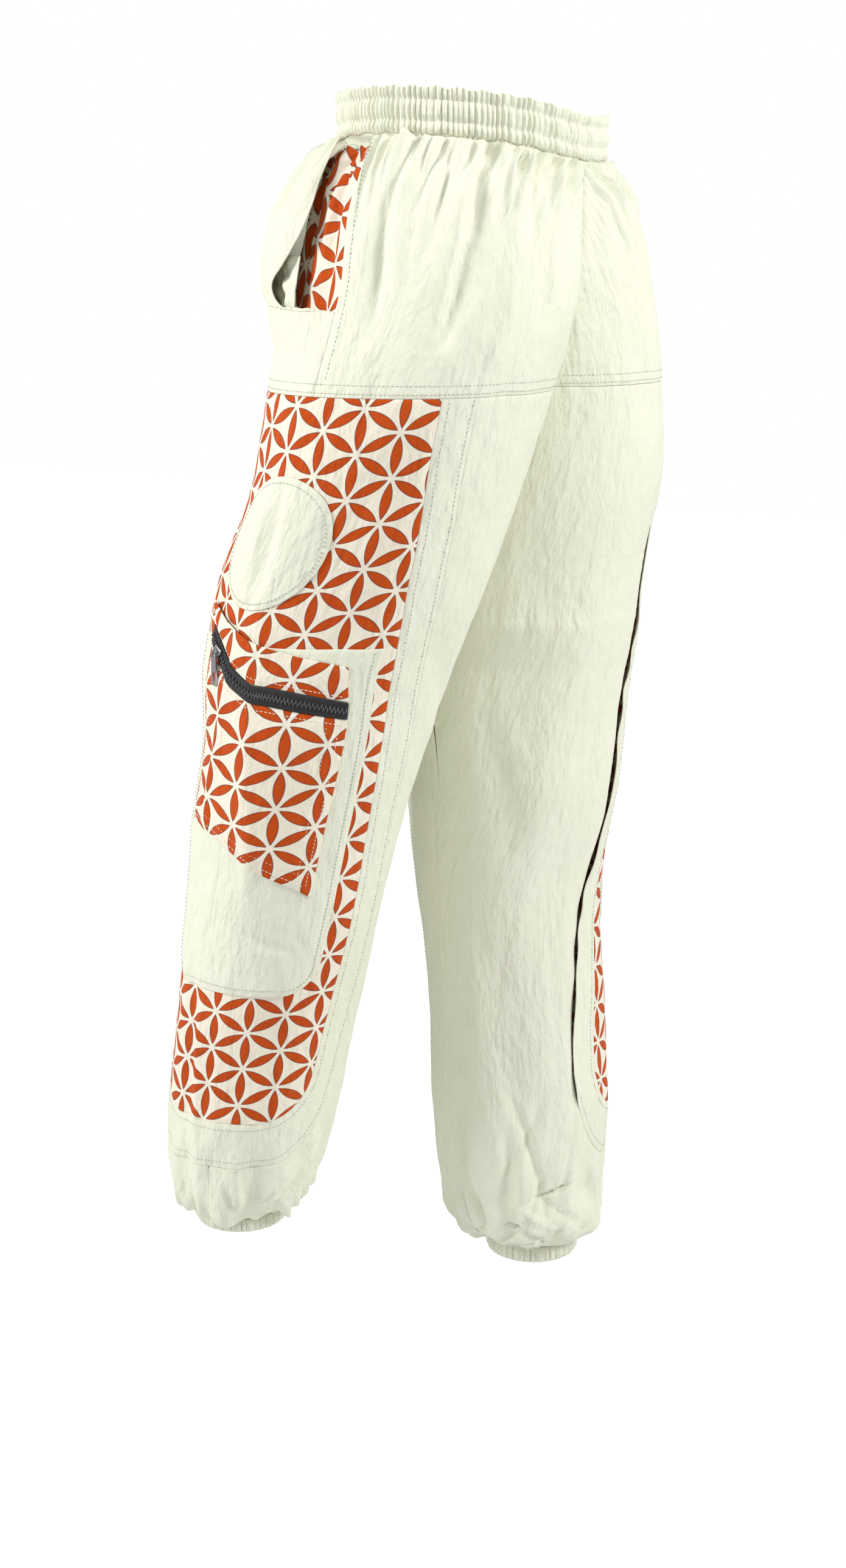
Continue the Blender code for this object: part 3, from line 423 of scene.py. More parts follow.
def fold_height(side, across, around, down):
    """How far the folds push the cloth out."""
    total = np.zeros(np.shape(down))
    for top, start, low, end, half_width, height, skew in ALL_FOLDS[side]:
        inside = np.clip((down - start) / (end - start), 0, 1)
        line = top + (low - top) * inside
        rise = np.sin(np.pi * inside**skew)
        total += height * rise * np.exp(-(((across - line) / half_width) ** 2))
    # the soft corner down the side of the leg
    crest = np.where((down > YOKE_SEAM) & (down < CORNER_END), panel_at(side, 4, down), 0)
    off = np.clip(1 - np.abs(across - panel_at(side, 3, down)) / CORNER_REACH, 0, 1)
    total += crest * off**1.4
    # even gathers under the waistband and over the cuffs
    fade = np.clip(1 - down / YOKE_WAVE_REACH, 0, 1) ** 2
    total += YOKE_WAVE_HIGH * fade * np.cos(2 * np.pi * YOKE_WAVES * around)
    blouse = np.clip((down - (leg_end(side) - BLOUSE_REACH)) / BLOUSE_REACH, 0, 0.9)
    total += BLOUSE_HIGH * np.sin(np.pi * blouse) * np.cos(np.pi * BLOUSE_WAVES * around + 1.0)
    # a slow, shallow unevenness all over
    total += 0.0006 * np.sin(61 * across + 23 * down) * np.sin(37 * down - 11 * across + 1.3)
    total += 0.0003 * np.sin(170 * across - 60 * down + 0.7) * np.sin(95 * down + 40 * across)
    # flat at the elastic, and at the seams where two pieces have to meet
    calm = np.clip(down / 0.003, 0, 1) * np.clip((leg_end(side) - down) / 0.020, 0, 1)
    return total * calm * np.clip((1 - np.abs(around)) / 0.035, 0, 1) ** 0.6


def cloth(side, around, down, out=0.0):
    """Points of the folded cloth, out metres off the form."""
    around, down = np.broadcast_arrays(np.asarray(around, float), np.asarray(down, float))
    across = across_of(side, around, down)
    push = fold_height(side, across, around, down) + out
    points = bare_ring(side, around, down) + outward(side, around, down) * push[..., None]
    # above the crotch neither half crosses the middle
    above = down < CROTCH + 0.02
    inner = np.maximum(SIDES[side] * points[..., 0], SEAM / 2)
    points[..., 0] = np.where(above, SIDES[side] * inner, points[..., 0])
    return points


for side in SIDES:
    stands = cloth(side, RING_STEPS, KNEE) - bare_ring(side, RING_STEPS, KNEE)
    print(f"{side} folds at the knee reach {np.linalg.norm(stands, axis=-1).max():.4f} m")

# %% [markdown]
# ## Shader groups
# Several materials share the same effects, so each effect is a node group that is built once and
# placed in each material with its own values. A small class makes every node with one short call,
# which keeps long chains of arithmetic readable.

# %% Short calls for shader nodes
class Wires:
    """A node tree with short calls for its nodes."""

    def __init__(self, tree):
        self.tree = tree

    def node(self, kind, **settings):
        made = self.tree.nodes.new(kind)
        for key, value in settings.items():
            setattr(made, key, value)
        return made

    def feed(self, socket, value):
        if isinstance(value, bpy.types.NodeSocket):
            self.tree.links.new(value, socket)
        else:
            socket.default_value = value

    def math(self, operation, *values):
        made = self.node("ShaderNodeMath", operation=operation)
        for socket, value in zip(made.inputs, values):
            self.feed(socket, value)
        return made.outputs[0]

    def ramp(self, value, low, high, to_low=0.0, to_high=1.0):
        made = self.node("ShaderNodeMapRange", interpolation_type="SMOOTHSTEP")
        for socket, entry in zip(made.inputs, (value, low, high, to_low, to_high)):
            self.feed(socket, entry)
        return made.outputs[0]

    def mix(self, share, first, second):
        made = self.node("ShaderNodeMix", data_type="RGBA")
        for name, value in (("Factor_Float", share), ("A_Color", first), ("B_Color", second)):
            socket = next(s for s in made.inputs if s.identifier == name)
            self.feed(socket, value)
        return next(s for s in made.outputs if s.identifier == "Result_Color")

    def noise(self, vector, scale, detail=2.0, stretch=(1, 1, 1)):
        mapping = self.node("ShaderNodeMapping")
        self.feed(mapping.inputs["Vector"], vector)
        mapping.inputs["Scale"].default_value = stretch
        made = self.node("ShaderNodeTexNoise")
        self.feed(made.inputs["Vector"], mapping.outputs[0])
        made.inputs["Scale"].default_value = scale
        made.inputs["Detail"].default_value = detail
        return made.outputs["Fac"]


def new_group(name, sockets_in, sockets_out):
    tree = bpy.data.node_groups.new(name, "ShaderNodeTree")
    for label, kind in sockets_in:
        tree.interface.new_socket(label, in_out="INPUT", socket_type=kind)
    for label, kind in sockets_out:
        tree.interface.new_socket(label, in_out="OUTPUT", socket_type=kind)
    wires = Wires(tree)
    return wires, wires.node("NodeGroupInput").outputs, wires.node("NodeGroupOutput").inputs


FLOAT, VECTOR = "NodeSocketFloat", "NodeSocketVector"

# %% [markdown]
# ## Weave
# Plain cotton is a fine cross of threads, with a few thicker slubs that run down the cloth. Two sine
# waves, one each way, multiply into the height of the weave, and stretched noise gives the slubs.
# Threads this fine are too many to model.

# %% Group of the weave
w, given, put = new_group(
    "cotton_threads", [("Cloth", VECTOR), ("Threads", FLOAT)], [("Height", FLOAT), ("Slub", FLOAT)]
)
parts = w.node("ShaderNodeSeparateXYZ")
w.feed(parts.inputs[0], given["Cloth"])
warp = w.math("SINE", w.math("MULTIPLY", parts.outputs[0], given["Threads"]))
weft = w.math("SINE", w.math("MULTIPLY", parts.outputs[1], given["Threads"]))
slub = w.ramp(w.noise(given["Cloth"], 1.0, 3.0, (900, 28, 1)), 0.50, 0.74)
cross = w.ramp(w.noise(given["Cloth"], 1.0, 2.0, (40, 700, 1)), 0.52, 0.80)
w.feed(put["Slub"], w.math("ADD", slub, w.math("MULTIPLY", cross, 0.35)))
w.feed(put["Height"], w.math("ADD", w.math("MULTIPLY", w.math("MULTIPLY", warp, weft), 0.4), slub))
print("group", w.tree.name, len(w.tree.nodes), "nodes")

# %% [markdown]
# ## Petal print
# The print is a traditional lattice of petals: in each of three directions a row of thin lenses, six
# of which meet at every star. A lens is where two circles overlap, so its distance needs one square
# root. The group gives a mask of the petals and one of their darker rim, sharp at any distance.

# %% Group of the petal lattice
w, given, put = new_group(
    "petal_lattice", [("Cloth", VECTOR), ("Spacing", FLOAT)], [("Petal", FLOAT), ("Outline", FLOAT)]
)
PETAL_LONG, PETAL_WIDE = 0.79, 0.21  # shares of the spacing between stars
LENS_RADIUS = (PETAL_LONG**2 + PETAL_WIDE**2) / (4 * PETAL_WIDE)
ROW_GAP = float(np.sqrt(3) / 2)
SOFT_EDGE = 0.004
parts = w.node("ShaderNodeSeparateXYZ")
w.feed(parts.inputs[0], given["Cloth"])
along = w.math("DIVIDE", parts.outputs[1], given["Spacing"])
beside = w.math("DIVIDE", parts.outputs[0], given["Spacing"])
nearest = None
for turn in (0.0, np.pi / 3, -np.pi / 3):
    cosine, sine = float(np.cos(turn)), float(np.sin(turn))
    x = w.math("ADD", w.math("MULTIPLY", along, cosine), w.math("MULTIPLY", beside, sine))
    y = w.math("SUBTRACT", w.math("MULTIPLY", beside, cosine), w.math("MULTIPLY", along, sine))
    row = w.math("ROUND", w.math("DIVIDE", y, ROW_GAP))
    off_row = w.math("ABSOLUTE", w.math("SUBTRACT", y, w.math("MULTIPLY", row, ROW_GAP)))
    x = w.math("SUBTRACT", w.math("SUBTRACT", x, w.math("MULTIPLY", row, 0.5)), 0.5)
    x = w.math("SUBTRACT", x, w.math("ROUND", x))
    deep = w.math("ADD", off_row, LENS_RADIUS - PETAL_WIDE / 2)
    reach = w.math("SQRT", w.math("ADD", w.math("MULTIPLY", x, x), w.math("MULTIPLY", deep, deep)))
    reach = w.math("SUBTRACT", reach, LENS_RADIUS)
    nearest = reach if nearest is None else w.math("MINIMUM", nearest, reach)
w.feed(put["Petal"], w.ramp(nearest, -SOFT_EDGE, SOFT_EDGE, 1.0, 0.0))
from_rim = w.math("ABSOLUTE", w.math("SUBTRACT", nearest, SOFT_EDGE))
w.feed(put["Outline"], w.ramp(from_rim, 0.008, 0.015, 1.0, 0.0))
print("group", w.tree.name, len(w.tree.nodes), "nodes")

# %% [markdown]
# ## Wrinkles and wear
# Worn cotton has faint wrinkles, longer down the cloth than across it, and slow patches where it has
# faded or creased a little. Both are too shallow to be worth a vertex, so noise gives them: the first
# as a height, the second as two masks.

# %% Groups of the wrinkles and the wear
w, given, put = new_group("soft_wrinkles", [("Cloth", VECTOR)], [("Height", FLOAT)])
broad = w.noise(given["Cloth"], 1.0, 3.0, (75, 22, 1))
narrow = w.noise(given["Cloth"], 1.0, 4.0, (190, 90, 1))
w.feed(put["Height"], w.math("ADD", broad, w.math("MULTIPLY", narrow, 0.4)))

w, given, put = new_group("cloth_wear", [("Cloth", VECTOR)], [("Patch", FLOAT), ("Fleck", FLOAT)])
w.feed(put["Patch"], w.ramp(w.noise(given["Cloth"], 9.0, 4.0), 0.35, 0.70))
w.feed(put["Fleck"], w.ramp(w.noise(given["Cloth"], 900.0, 2.0), 0.66, 0.72))
print("shader groups", [tree.name for tree in bpy.data.node_groups])

# %% [markdown]
# ## Plain and printed cotton
# Plain cotton is a pale sage with a little sheen at grazing angles. The printed cotton is the same
# cloth with the lattice printed on a cream ground, so one function makes both and they share the
# weave. The pattern reads the piece's UV map in metres, so it follows the cloth round every fold.

# %% Plain and printed cotton
def finish_of(name, roughness, metallic=0.0, sheen=0.0):
    made = bpy.data.materials.new(name)
    made.use_nodes = True
    wires = Wires(made.node_tree)
    shader = made.node_tree.nodes["Principled BSDF"]
    shader.inputs["Roughness"].default_value = roughness
    shader.inputs["Metallic"].default_value = metallic
    shader.inputs["Sheen Weight"].default_value = sheen
    return made, wires, shader


def use_group(wires, name, **values):
    made = wires.node("ShaderNodeGroup", node_tree=bpy.data.node_groups[name])
    for key, value in values.items():
        wires.feed(made.inputs[key], value)
    return made.outputs


def bump(wires, height, strength, distance, under=None):
    """The normal of a surface roughened by height, on top of the normal under it."""
    made = wires.node("ShaderNodeBump")
    made.inputs["Strength"].default_value = strength
    made.inputs["Distance"].default_value = distance
    wires.feed(made.inputs["Height"], height)
    if under is not None:
        wires.feed(made.inputs["Normal"], under)
    return made.outputs["Normal"]


PETAL_ORANGE, DEEP_ORANGE = (0.53, 0.070, 0.003, 1), (0.43, 0.048, 0.003, 1)
FLECK_ORANGE, RIM_BROWN = (0.85, 0.45, 0.25, 1), (0.16, 0.012, 0.010, 1)
STAR_SPACING = 0.0325
COTTON_THREADS, TAPE_THREADS = 9000.0, 7000.0  # radians of the weave's waves for each metre


def cotton(name, ground, shade, light, printed=False):
    made, wires, shader = finish_of(name, 0.9, sheen=0.05)
    shader.inputs["Specular IOR Level"].default_value = 0.2
    place = wires.node("ShaderNodeUVMap", uv_map="cloth").outputs[0]
    threads = use_group(wires, "cotton_threads", Cloth=place, Threads=COTTON_THREADS)
    wear = use_group(wires, "cloth_wear", Cloth=place)
    colour = wires.mix(wires.math("MULTIPLY", wear["Patch"], 0.30), ground, shade)
    colour = wires.mix(wires.math("MULTIPLY", threads["Slub"], 0.28), colour, light)
    if printed:
        petals = use_group(wires, "petal_lattice", Cloth=place, Spacing=STAR_SPACING)
        worn = wires.math("MULTIPLY", wear["Patch"], 0.5)
        orange = wires.mix(worn, PETAL_ORANGE, DEEP_ORANGE)
        orange = wires.mix(wires.math("MULTIPLY", wear["Fleck"], 0.20), orange, FLECK_ORANGE)
        colour = wires.mix(petals["Petal"], colour, orange)
        colour = wires.mix(wires.math("MULTIPLY", petals["Outline"], 0.85), colour, RIM_BROWN)
    wires.feed(shader.inputs["Base Color"], colour)
    wrinkles = use_group(wires, "soft_wrinkles", Cloth=place)
    soft = bump(wires, wrinkles["Height"], 0.7, 0.0055)
    wires.feed(shader.inputs["Normal"], bump(wires, threads["Height"], 0.30, 0.0002, soft))
    return made


SAGE = cotton(
    "sage_cotton_cloth", (0.775, 0.785, 0.645, 1), (0.71, 0.73, 0.575, 1), (0.88, 0.885, 0.78, 1)
)
PRINT = cotton(
    "petal_print_cloth", (0.84, 0.78, 0.65, 1), (0.78, 0.70, 0.56, 1), (0.92, 0.88, 0.78, 1), True
)


print("cloths", SAGE.name, PRINT.name)


# %% [markdown]
# ## Thread, tape, coil and metal
# The stitches are of pale thread and of sage thread. The sage thread is darker and greyer than the
# real thread, so its colour also paints the shade of the puckers beside each row. The zip has a dark
# woven tape and a nylon coil, and its slider and tab are brushed metal. They are small, so noise in
# Object coordinates is enough for their twist, gloss and brushing, and only the tape shares the weave
# of the cloths.

# %% Thread, tape, coil and metal
def thread(name, dark, light):
    made, wires, shader = finish_of(name, 0.6, sheen=0.1)
    place = wires.node("ShaderNodeTexCoord").outputs["Object"]
    twist = wires.noise(place, 900.0, 2.0)
    wires.feed(shader.inputs["Base Color"], wires.mix(twist, dark, light))
    wires.feed(shader.inputs["Normal"], bump(wires, twist, 0.3, 0.0002))
    return made


# the sage thread is grey thread made darker still: its colour also paints the shade of the puckers
# beside each row
THREAD = thread("sage_thread_painted_shade", (0.36, 0.38, 0.33, 1), (0.50, 0.52, 0.46, 1))
PALE_THREAD = thread("pale_thread", (0.80, 0.78, 0.70, 1), (0.95, 0.94, 0.88, 1))

TAPE, wires, shader = finish_of("zip_tape_weave", 0.75, sheen=0.1)
place = wires.node("ShaderNodeUVMap", uv_map="cloth").outputs[0]
threads = use_group(wires, "cotton_threads", Cloth=place, Threads=TAPE_THREADS)
tape_colour = wires.mix(threads["Slub"], (0.010, 0.010, 0.012, 1), (0.030, 0.030, 0.033, 1))
wires.feed(shader.inputs["Base Color"], tape_colour)
wires.feed(shader.inputs["Normal"], bump(wires, threads["Height"], 0.5, 0.0003))

COIL, wires, shader = finish_of("zip_coil_nylon", 0.35)
place = wires.node("ShaderNodeTexCoord").outputs["Object"]
gloss = wires.noise(place, 400.0, 2.0)
coil_colour = wires.mix(gloss, (0.055, 0.055, 0.060, 1), (0.13, 0.13, 0.14, 1))
wires.feed(shader.inputs["Base Color"], coil_colour)
wires.feed(shader.inputs["Roughness"], wires.ramp(gloss, 0.3, 0.7, 0.28, 0.45))

METAL, wires, shader = finish_of("pull_metal_brushed", 0.3, metallic=1.0)
place = wires.node("ShaderNodeTexCoord").outputs["Object"]
brushed = wires.noise(place, 1.0, 3.0, (3000, 3000, 120))
scuffed = wires.noise(place, 300.0, 3.0)
metal_colour = wires.mix(scuffed, (0.40, 0.40, 0.42, 1), (0.60, 0.60, 0.62, 1))
wires.feed(shader.inputs["Base Color"], metal_colour)
wires.feed(shader.inputs["Roughness"], wires.ramp(brushed, 0.3, 0.7, 0.22, 0.42))
wires.feed(shader.inputs["Normal"], bump(wires, brushed, 0.15, 0.0001))
print("small finishes", [m.name for m in (THREAD, PALE_THREAD, TAPE, COIL, METAL)])

# %% [markdown]
# ## Laying a cut piece on the form
# A cut piece starts as a flat grid whose rows and columns crowd together at the edges, where the
# cloth rolls down into its seam. Its pattern says where each point lies on the form. The flat place
# is kept as a UV map in metres, so the weave and print follow the cloth. A Solidify modifier gives
# the thin wall.

# %% One helper for every flat piece
SHELL = 0.0008
CLOSE_ROWS = (0, 0.0007, 0.0016, 0.0030)  # from the edge, where the cloth rolls down
ROLL_REACH = 0.0018
PUCKER_AT, PUCKER_REACH = 0.006, 0.004  # from the edge, where the stitching draws the cloth


def places(length, step):
    """Shares from 0 to 1 along an edge, close together at both ends."""
    close = np.array(CLOSE_ROWS) / length
    inner = np.linspace(close[-1], 1 - close[-1], max(int(length / step), 3))
    return np.concatenate([close[:-1], inner, 1 - close[:-1][::-1]])


def object_of(name, shape, finish):
    """Links an object made of the bmesh, and frees the bmesh."""
    mesh = bpy.data.meshes.new(name)
    shape.to_mesh(mesh)
    shape.free()
    mesh.shade_smooth()
    mesh.materials.append(finish)
    made = bpy.data.objects.new(name, mesh)
    bpy.context.scene.collection.objects.link(made)
    return made


def thin_wall(piece):
    wall = piece.modifiers.new("wall", "SOLIDIFY")
    wall.thickness, wall.offset = SHELL, -1.0


def lay(name, side, pattern, wide, tall, finish, out=0.0, step=0.003, roll=0.0004,
        pucker=0.00025, lift=None):
    """A piece of cloth on the form. pattern(u, v) gives its around and down, and
    lift(around, down, across, edge) how far each point stands out, edge being its distance
    from the piece's edge."""
    us, vs = places(wide, step), places(tall, step)
    shape = bmesh.new()
    bmesh.ops.create_grid(shape, x_segments=len(us) - 1, y_segments=len(vs) - 1, size=1.0)
    spots = np.array([vert.co[:2] for vert in shape.verts])
    i = np.rint((spots[:, 0] + 1) / 2 * (len(us) - 1)).astype(int)
    j = np.rint((spots[:, 1] + 1) / 2 * (len(vs) - 1)).astype(int)
    u, v = us[i], vs[j]
    around, down = pattern(u, v)
    across = across_of(side, around, down)
    edge = np.full(len(u), 1.0)
    for far_u, far_v in ((0 * u, v), (0 * u + 1, v), (u, 0 * v), (u, 0 * v + 1)):
        a, d = pattern(far_u, far_v)
        edge = np.minimum(edge, np.hypot(across_of(side, a, d) - across, d - down))
    push = out - roll * np.exp(-((edge / ROLL_REACH) ** 2))
    run = across * 0.8 + down
    near_stitches = np.exp(-(((edge - PUCKER_AT) / PUCKER_REACH) ** 2))
    push = push + pucker * np.sin(run * 720 + 2 * np.sin(run * 61)) * near_stitches
    if lift is not None:
        push = push + lift(around, down, across, edge)
    points = cloth(side, around, down, push)
    for vert, point in zip(shape.verts, points):
        vert.co = point
    shape.verts.index_update()
    shape.faces.ensure_lookup_table()
    shape.normal_update()
    # a face whose back is turned to the room is reversed with all the others
    middle = shape.faces[len(shape.faces) // 2]
    m = middle.verts[0].index
    if middle.normal.dot(Vector(outward(side, around[m], down[m]))) < 0:
        bmesh.ops.reverse_faces(shape, faces=shape.faces)
    piece = object_of(name, shape, finish)
    mesh = piece.data
    corners = np.empty(len(mesh.loops), np.int32)
    mesh.loops.foreach_get("vertex_index", corners)
    flat_place = np.stack([across, down], -1)[corners]
    mesh.uv_layers.new(name="cloth").data.foreach_set("uv", flat_place.ravel().astype(np.float32))
    thin_wall(piece)
    # the flat cut
    uu, vv = np.meshgrid(us, vs)
    a, d = pattern(uu.ravel(), vv.ravel())
    return piece


# %% [markdown]
# ## Which solid each piece stands for
# A sewn piece stands for one solid of the frame: it joins the garment's body, and that solid is
# hidden.

# %% Saying which solid a cut piece stands for
def run_length(across, down):
    """Length of a line drawn on the flat cloth."""
    return float(np.hypot(np.diff(across), np.diff(down)).sum())


def stand_for(piece, node):
    """Says which solid the piece of cloth stands for."""
    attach(piece, "garment")
    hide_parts(node)


def cut_piece(piece, node, strip=None):
    """Says what the piece stands for. The strip, a narrow bending piece's own length and widest
    width, is not used."""
    stand_for(piece, node)


# %% [markdown]
# ## The cut lines
# The printed panel has straight sides and rounded lower corners. The plain band follows the same
# line a little further out, and the leg panels start at the band's outer edge. One function gives the
# line, grown by any amount, so that the three always meet.

# %% Outline of the printed panel
SEWN = 0.00010  # sewn edges meet more tightly than the solids do
BAND_WIDTH, BAND_DEPTH, PANEL_CORNER = 0.028, 0.042, 0.046
STRAIGHT_END, BEND_END = 0.72, 0.88  # shares of the way along the outline


def outline(side, edge, t, beside=0.0, under=0.0):
    """Across and down on the panel's outline, from the yoke seam to the middle of its lower edge."""
    way, index = (1, 1) if edge == "back" else (-1, 2)
    last = PANEL_ROWS[side][-1]
    corner = last[index] - way * PANEL_CORNER
    t = np.asarray(t, float)
    straight = np.clip(t / STRAIGHT_END, 0, 1)
    turn = np.clip((t - STRAIGHT_END) / (BEND_END - STRAIGHT_END), 0, 1) * np.pi / 2
    level = np.clip((t - BEND_END) / (1 - BEND_END), 0, 1)
    down = YOKE_SEAM + SEWN + (last[0] - YOKE_SEAM - SEWN) * straight
    across = panel_at(side, index, down) + way * beside
    across = np.where(t > STRAIGHT_END, corner + way * (PANEL_CORNER + beside) * np.cos(turn), across)
    across = np.where(t > BEND_END, corner + (last[3] - corner) * level, across)
    return across, down + (PANEL_CORNER + under) * np.sin(turn)


def print_pattern(side):
    def pattern(u, v):
        front, down = outline(side, "front", v * BEND_END)
        back, _ = outline(side, "back", v * BEND_END)
        return around_of(side, front + (back - front) * u, down), down
    return pattern


for side in SIDES:
    print(f"{side} outline is {2 * run_length(*outline(side, 'back', np.linspace(0, 1, 99))):.2f} m")


# %% [markdown]
# ## Band and leg panels from the same line
# The band is one long strip that turns two corners, down the front edge of the print and up its back
# edge. Each leg panel starts at the band's outer edge and ends at the centre seam or the inseam. Both
# are patterns: functions from a point's flat place to its place on the form.

# %% Patterns of the band and the legs
LEG_BREAK = 0.88  # share of a leg panel's length that lies beside the outline


def both_edges(side, v, beside, under):
    """The whole U, down the front edge and up the back one."""
    t = 1 - np.abs(1 - 2 * v)
    front, front_down = outline(side, "front", t, beside, under)
    back, back_down = outline(side, "back", t, beside, under)
    return np.where(v < 0.5, front, back), np.where(v < 0.5, front_down, back_down)


def band_pattern(side):
    def pattern(u, v):
        beside, under = (SEWN + (wide - SEWN) * u for wide in (BAND_WIDTH, BAND_DEPTH))
        across, down = both_edges(side, v, beside, under)
        return around_of(side, across, down), down
    return pattern


def leg_pattern(side, edge):
    way = 1 if edge == "back" else -1
    last = PANEL_ROWS[side][-1]
    low = last[0] + PANEL_CORNER + BAND_DEPTH + SEWN
    end = leg_end(side)
    fan = low + 0.55 * (end - low)

    def pattern(u, v):
        t = np.clip(v / LEG_BREAK, 0, 1)
        across, down = outline(side, edge, t, BAND_WIDTH + SEWN, BAND_DEPTH + SEWN)
        seam = np.clip((v - LEG_BREAK) / (1 - LEG_BREAK), 0, 1)
        # under the band the front and the back panel meet in a seam
        keep = np.maximum if way > 0 else np.minimum
        across = np.where(t >= 0.98, keep(across, last[3] + way * SEWN / 2), across)
        down = down + (end - low) * seam
        far = np.interp(t, (0, STRAIGHT_END, BEND_END, 1), (YOKE_SEAM + SEWN, last[0], low, fan))
        far = far + (end - fan) * seam
        start = around_of(side, across, down)
        stop = way * (1 - np.where(far > CROTCH, SEWN / 0.6, 0))
        return start + (stop - start) * u, down + (far - down) * u
    return pattern


# %% [markdown]
# ## Side panels, bands and legs
# The printed panel, its plain band and the two plain leg panels are one layer of cloth, sewn edge to
# edge. The front panel and the back panel meet again at the inseam, on the inside of the leg.

# %% Main pieces of both legs
CURL_HIGH, CURL_DEEP, CURL_WIDE = 0.0030, -0.0016, 0.0035


def curled_edge(side, high):
    """The right band's rear edge curls up a little, and the leg beside it sinks."""
    def lift(around, down, across, edge):
        beside = (across - panel_at(side, 1, np.clip(down, 0.2, 0.87)) - BAND_WIDTH) / CURL_WIDE
        reach = np.clip((down - 0.27) / 0.06, 0, 1) * np.clip((0.885 - down) / 0.02, 0, 1)
        uneven = 0.75 + 0.25 * np.sin(down * 130 + 2 * np.sin(down * 31))
        return high * uneven * reach * np.exp(-beside**2)
    return lift if side == "right" else None


for side in SIDES:
    piece = lay(f"printed_panel_{side}", side, print_pattern(side), 0.22, 0.58, PRINT, step=0.0035)
    cut_piece(piece, f"side_print_{side}")
    piece = lay(f"plain_band_{side}", side, band_pattern(side), BAND_WIDTH, 1.36, SAGE, step=0.0028,
                lift=curled_edge(side, CURL_HIGH))
    middle_line = both_edges(side, np.linspace(0, 1, 400), BAND_WIDTH / 2, BAND_DEPTH / 2)
    cut_piece(piece, f"side_band_{side}",
              strip=(run_length(*middle_line), BAND_DEPTH))
    for edge in ("back", "front"):
        piece = lay(f"leg_{edge}_{side}", side, leg_pattern(side, edge), 0.20, 0.80, SAGE, step=0.0035,
                    lift=curled_edge(side, CURL_DEEP) if edge == "back" else None)
        cut_piece(piece, f"{edge}_leg_{side}")

# %% [markdown]
# ## Cut of the yokes
# The yokes are gathered into the waistband. The front yoke's side edge is cut away for the hip
# pocket, and it stands off the body there. A table of rows gives that edge and how far it stands
# out, because the edge is one free curve that no simple shape fits.

# %% The pocket's mouth and the yokes' patterns
MOUTH_ROWS = (  # across, down, down_at_centre, edge_stands_out, bulge_stands_out
    (-0.050, 0.0000, 0.000, 0.001, 0.001), (-0.053, 0.0280, 0.022, 0.004, 0.015),
    (-0.051, 0.0560, 0.044, 0.008, 0.021), (-0.064, 0.0840, 0.064, 0.013, 0.021),
    (-0.078, 0.1010, 0.080, 0.014, 0.019), (-0.070, 0.1120, 0.094, 0.008, 0.011),
    (-0.046, 0.1150, 0.108, 0.000, 0.000), (SIDE_SEAM, 0.1150, 0.122, 0.000, 0.000),
    (SIDE_SEAM, 0.1430, 0.147, 0.000, 0.000), (SIDE_SEAM, YOKE_SEAM, YOKE_SEAM, 0.000, 0.000),
)
BULGE_AT, BULGE_FADE = -0.105, 0.070


def mouth_lift(around, down, across, edge):
    """The front yoke stands off the body round the mouth, and is sewn down below it."""
    rows = MOUTH_ROWS[:6]
    line, at_edge, at_bulge = (np.interp(down, column(rows, 1), column(rows, k)) for k in (0, 3, 4))
    gone = np.clip((rows[-1][1] + 0.03 - down) / 0.03, 0, 1)
    share = np.clip((line - across) / (line - BULGE_AT), 0, 1)
    behind = at_edge + (at_bulge - at_edge) * share * (2 - share)
    ahead = at_bulge * (1 - np.clip((BULGE_AT - across) / BULGE_FADE, 0, 1)) ** 2
    sewn = np.clip((SIDE_SEAM - 0.004 - across) / 0.030, 0, 1)
    return np.where(across > BULGE_AT, behind * sewn, ahead) * gone


def back_yoke_pattern(side):
    def pattern(u, v):
        down = SEWN + (YOKE_SEAM - 2 * SEWN) * v
        start = around_of(side, SIDE_SEAM + SEWN / 2, down)
        return start + (1.0 - start) * u, down
    return pattern


def front_yoke_pattern(side):
    def pattern(u, v):
        row = np.asarray(v) * (len(MOUTH_ROWS) - 1)
        steps = np.arange(len(MOUTH_ROWS))
        across = np.minimum(smooth(row, steps, column(MOUTH_ROWS, 0)), SIDE_SEAM) - SEWN / 2
        near = np.clip(smooth(row, steps, column(MOUTH_ROWS, 1)), SEWN, YOKE_SEAM - SEWN)
        far = np.clip(smooth(row, steps, column(MOUTH_ROWS, 2)), SEWN, YOKE_SEAM - SEWN)
        start = around_of(side, across, near)
        return start + (-1.0 - start) * u, near + (far - near) * u
    return pattern


mouth_line = column(MOUTH_ROWS[:7], 0), column(MOUTH_ROWS[:7], 1)
print(f"pocket mouth {run_length(*mouth_line):.3f} m along its edge")

# %% [markdown]
# ## Yokes, pocket piece and lining
# The printed pocket piece shows behind the opening. It lies one cloth's thickness under the yokes,
# so that nothing pokes through, and falls in three soft folds. A small crumpled piece of plain lining
# lies at the bottom of the opening, and stiff little ridges are enough for it.

# %% Yokes, pocket piece and lining
POCKET_REACH, POCKET_FLOOR = 0.130, 0.136
SOLID_CLOTH = 0.0012


def strip_pattern(side, start, end, top, low):
    def pattern(u, v):
        down = top + (low - top) * v
        return around_of(side, start + (end - start) * u, down), down
    return pattern


def pocket_sink(around, down, across, edge):
    """The printed pocket piece lies under the yokes and falls in three soft folds."""
    share = np.clip((SIDE_SEAM - across) / (POCKET_REACH + SIDE_SEAM), 0, 1)
    fold = 0.0036 * (1 - np.cos(6 * np.pi * share)) / 2
    fine = 0.0008 * np.sin(420 * across + 9 * down) * np.clip(share * 6, 0, 1)
    return -SOLID_CLOTH - SEAM - 0.0025 * share - 0.0050 * np.sin(np.pi * share) - fold + fine


